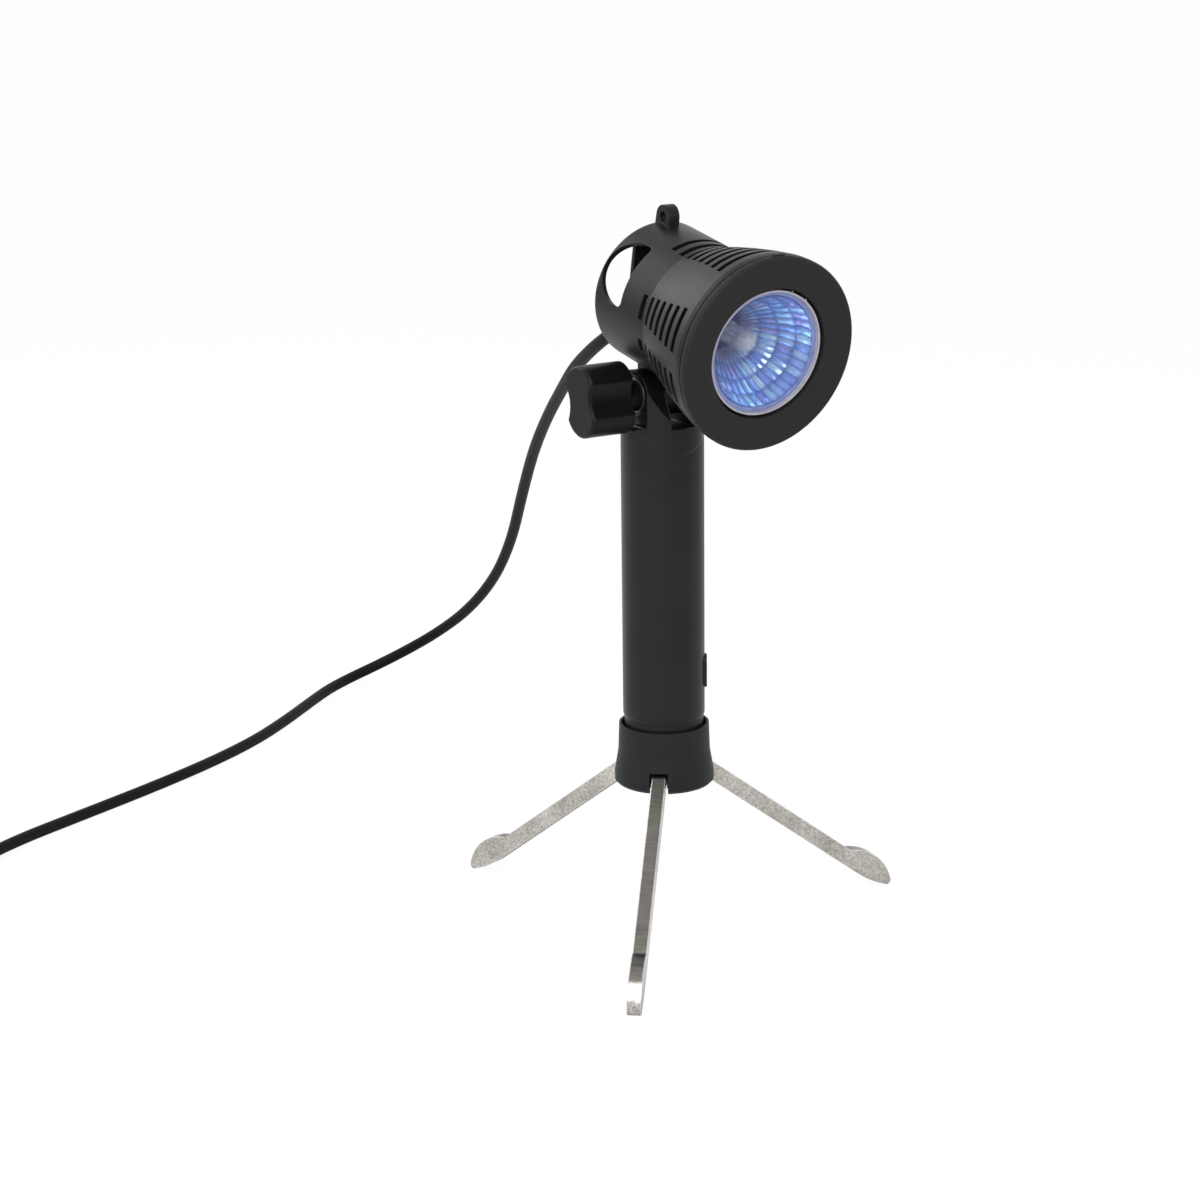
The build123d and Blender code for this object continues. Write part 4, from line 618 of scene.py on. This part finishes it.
brass = plated("brass", dark=(0.55, 0.38, 0.14), light=(0.72, 0.54, 0.24), roughness=0.32)
dress(ceramic(), "lamp_base", "lamp_holder")
dress(pin_nickel, "lamp_pins")
dress(brass, "holder_contacts", "knob_insert", "terminal_screws")


# The holder hangs on a zinc plated steel strap, screwed to two bosses of the shell. The same plating
# is on the tilt bolt, its washer, the swivel screw and the legs' hinge pins.
zinc = plated("zinc", dark=(0.20, 0.20, 0.20), light=(0.34, 0.34, 0.33), roughness=0.40)
dress(zinc, "holder_strap", "strap_screws", "holder_screws")
dress(zinc, "tilt_bolt", "tilt_washer", "swivel_screw", "leg_pins")


# Two leads in woven glass fibre sleeves run from the holder to a pale plastic terminal block on the
# rear bar, where the cord's cores end.
def fibre_sleeve():
    """Braided glass fibre sleeve, off white."""
    finish = Finish("fibre_sleeve")
    weave = finish.add(
        "ShaderNodeTexWave",
        {"bands_direction": "DIAGONAL"},
        {"Vector": finish.place, "Scale": 700, "Distortion": 3},
    )
    return finish.surface(
        {
            "Base Color": finish.mixed(weave, (0.45, 0.43, 0.38), (0.72, 0.70, 0.64)),
            "Roughness": 0.75 + 0.1 * weave,
            "Normal": finish.bumped(weave, distance=0.0001, strength=0.8),
        }
    )


terminal_grain = moulding(
    "terminal_grain",
    dark=(0.62, 0.60, 0.54),
    light=(0.75, 0.74, 0.70),
    roughness=0.45,
    grain_scale=2200,
    grain_depth=0.00002,
    edge=0.0003,
)
dress(fibre_sleeve(), "lead_wires", "cord_cores")
dress(terminal_grain, "terminal_block")
dress(cord_sheath, "cord_entry")


# The post is a hollow tube of black plastic, satin and smooth. The fork is a glossier moulding that plugs
# into its top, coloured darker than the post as painted shade from the head above it, and the clamp knob on
# the fork's bolt is coarser and darker.
post_skin = moulding(
    "post_skin",
    dark=(0.006, 0.006, 0.007),
    light=(0.013, 0.013, 0.014),
    roughness=0.36,
    grain_scale=900,
    grain_depth=0.00001,
    edge=0.0006,
    shine=0.20,
)
# The fork's colours are darker than the post's: painted shade from the head above it.
fork_gloss_and_painted_shade = moulding(
    "fork_gloss_and_painted_shade",
    dark=(0.003, 0.003, 0.004),
    light=(0.008, 0.008, 0.009),
    roughness=0.20,
    grain_scale=900,
    grain_depth=0.00001,
    edge=0.0007,
    shine=0.24,
)
knob_grain = moulding(
    "knob_grain",
    dark=(0.003, 0.003, 0.003),
    light=(0.009, 0.009, 0.009),
    roughness=0.40,
    grain_scale=2000,
    grain_depth=0.00004,
    edge=0.0009,
    shine=0.13,
)
dress(post_skin, "post_tube")
dress(fork_gloss_and_painted_shade, "yoke")
dress(knob_grain, "tilt_knob")


# The flared collar at the post's foot, the leg carrier inside it and the post's plug are greyer,
# duller mouldings. The collar turns on the plug with the carrier and the legs.
collar_grain = moulding(
    "collar_grain",
    dark=(0.008, 0.009, 0.010),
    light=(0.015, 0.016, 0.018),
    roughness=0.52,
    grain_scale=2600,
    grain_depth=0.00003,
    edge=0.0005,
    shine=0.17,
)
dress(collar_grain, "base_collar", "leg_carrier", "post_plug")


# The legs are sheet steel, folded to a channel that ends in a leaf-shaped foot, and nickel plated.
# The web on top is satin and drawn along its length, with a painted dark reflection on its upward faces; the
# sides and the worn edges are brighter.
LEG_COUNT = 3
LEG_FIRST_CLOCK = -130
LEG_EDGE = 0.0007
LEG_SIDE_DARK = (0.22, 0.205, 0.185)
LEG_SIDE_LIGHT = (0.66, 0.63, 0.59)
# The web's two colours are darkened as a painted dark reflection.
LEG_WEB_REFLECTION_DARK = (0.07, 0.066, 0.06)
LEG_WEB_REFLECTION_LIGHT = (0.30, 0.285, 0.26)
LEG_EDGE_COLOUR = (0.72, 0.70, 0.66)


def leg_nickel(name, clock):
    """Nickel plate on one leg, with fine drawn lines that run along it."""
    finish = Finish(name)
    turned = finish.add(
        "ShaderNodeMapping",
        {"vector_type": "TEXTURE"},
        {"Vector": finish.place, "Rotation": (0, 0, clock), "Scale": (1, 12, 12)},
    )
    drawn_lines = finish.add("ShaderNodeTexNoise", {}, {"Vector": turned, "Scale": 1600, "Detail": 2})
    patch = finish.noise(70, 3)
    speck = finish.noise(900, 3)
    facing = finish.add("ShaderNodeTexCoord", {}, {}, "Normal")
    upward = finish.add("ShaderNodeSeparateXYZ", {}, {0: facing}, 2)
    # Faces that look upward take the web's darker colour: a painted dark reflection.
    faces_up_painted_dark = finish.add("ShaderNodeMapRange", {}, {"Value": upward, "From Min": 0.45, "From Max": 0.75})
    worn = finish.worn_edge(LEG_EDGE, gain=9.0, most=1.0, samples=8)
    mottle = 0.5 + 0.9 * (patch - 0.5) + 1.5 * (speck - 0.5)
    side = finish.mixed(mottle, LEG_SIDE_DARK, LEG_SIDE_LIGHT)
    web_painted_reflection = finish.mixed(0.7 * drawn_lines + 0.3 * patch, LEG_WEB_REFLECTION_DARK, LEG_WEB_REFLECTION_LIGHT)
    body = finish.mixed(faces_up_painted_dark, side, web_painted_reflection)
    return finish.surface(
        {
            "Base Color": finish.mixed(0.8 * worn, body, LEG_EDGE_COLOUR),
            "Metallic": 1.0,
            "Roughness": 0.22 + 0.16 * (drawn_lines - 0.5) + 0.16 * (speck - 0.5),
            "Normal": finish.bumped(drawn_lines, 0.00001, 0.5, LEG_EDGE),
        }
    )


for index in range(LEG_COUNT):
    clock = math.radians(360 / LEG_COUNT * index + LEG_FIRST_CLOCK)
    dress(leg_nickel(f"leg_nickel_{index + 1}", clock), f"leg_{index + 1}")


# A pale floor under plain soft studio light. The background shows white to the camera, to metal and
# to glass, and the floor keeps a faint shadow.
FLOOR_HALF = 40.0
FLOOR_PAPER = (0.92, 0.92, 0.92, 1)
FLOOR_GLOW = 1.02
FLOOR_GLOW_SHARE = 0.92
WHITE = (1, 1, 1, 1)
floor_mesh = bpy.data.meshes.new("floor")
corners = [(-1, -1), (1, -1), (1, 1), (-1, 1)]
floor_mesh.from_pydata([(x * FLOOR_HALF, y * FLOOR_HALF, 0) for x, y in corners], [], [(0, 1, 2, 3)])
floor = bpy.data.objects.new("floor", floor_mesh)
bpy.context.scene.collection.objects.link(floor)
paper = Finish("floor_paper")
seen = paper.add("ShaderNodeLightPath", {}, {}, "Is Camera Ray")
diffuse = paper.add("ShaderNodeBsdfDiffuse", {}, {"Color": FLOOR_PAPER})
glow = paper.add("ShaderNodeEmission", {}, {"Color": WHITE, "Strength": FLOOR_GLOW})
sheen = paper.add("ShaderNodeMixShader", {}, {0: FLOOR_GLOW_SHARE * seen, 1: diffuse, 2: glow})
paper.add("ShaderNodeOutputMaterial", {}, {"Surface": sheen})
floor_mesh.materials.append(paper.material)

AMBIENT = 0.62
world = bpy.data.worlds.new("studio")
bpy.context.scene.world = world
world.use_nodes = True
room = Tree(world.node_tree)
to_camera, to_gloss, through_glass = [
    room.add("ShaderNodeLightPath", {}, {}, kind)
    for kind in ("Is Camera Ray", "Is Glossy Ray", "Is Transmission Ray")
]
plain = (to_camera + to_gloss + through_glass).maths("MINIMUM", 1.0)
brightness = AMBIENT + (1 - AMBIENT) * plain
sky = room.add("ShaderNodeBackground", {}, {"Color": WHITE, "Strength": brightness})
room.add("ShaderNodeOutputWorld", {}, {"Surface": sky})

# Each softbox has a place, a side and a power in watts, and faces the middle of the post.
SOFTBOXES = {
    "key": ((-0.9, -0.7, 1.1), 0.9, 15.0),
    "fill": ((1.0, -0.9, 0.7), 0.9, 1.5),
    "rim": ((-0.4, 1.0, 0.9), 0.8, 5.0),
}
SOFTBOX_AIM = Vector((0, 0, 0.18))
for name, (place, size, watts) in SOFTBOXES.items():
    softbox = bpy.data.lights.new(name, "AREA")
    softbox.shape = "SQUARE"
    softbox.size = size
    softbox.energy = watts
    light = bpy.data.objects.new(name, softbox)
    light.location = place
    light.rotation_euler = (SOFTBOX_AIM - Vector(place)).to_track_quat("-Z", "Y").to_euler()
    bpy.context.scene.collection.objects.link(light)
bpy.context.scene.view_settings.view_transform = "Standard"
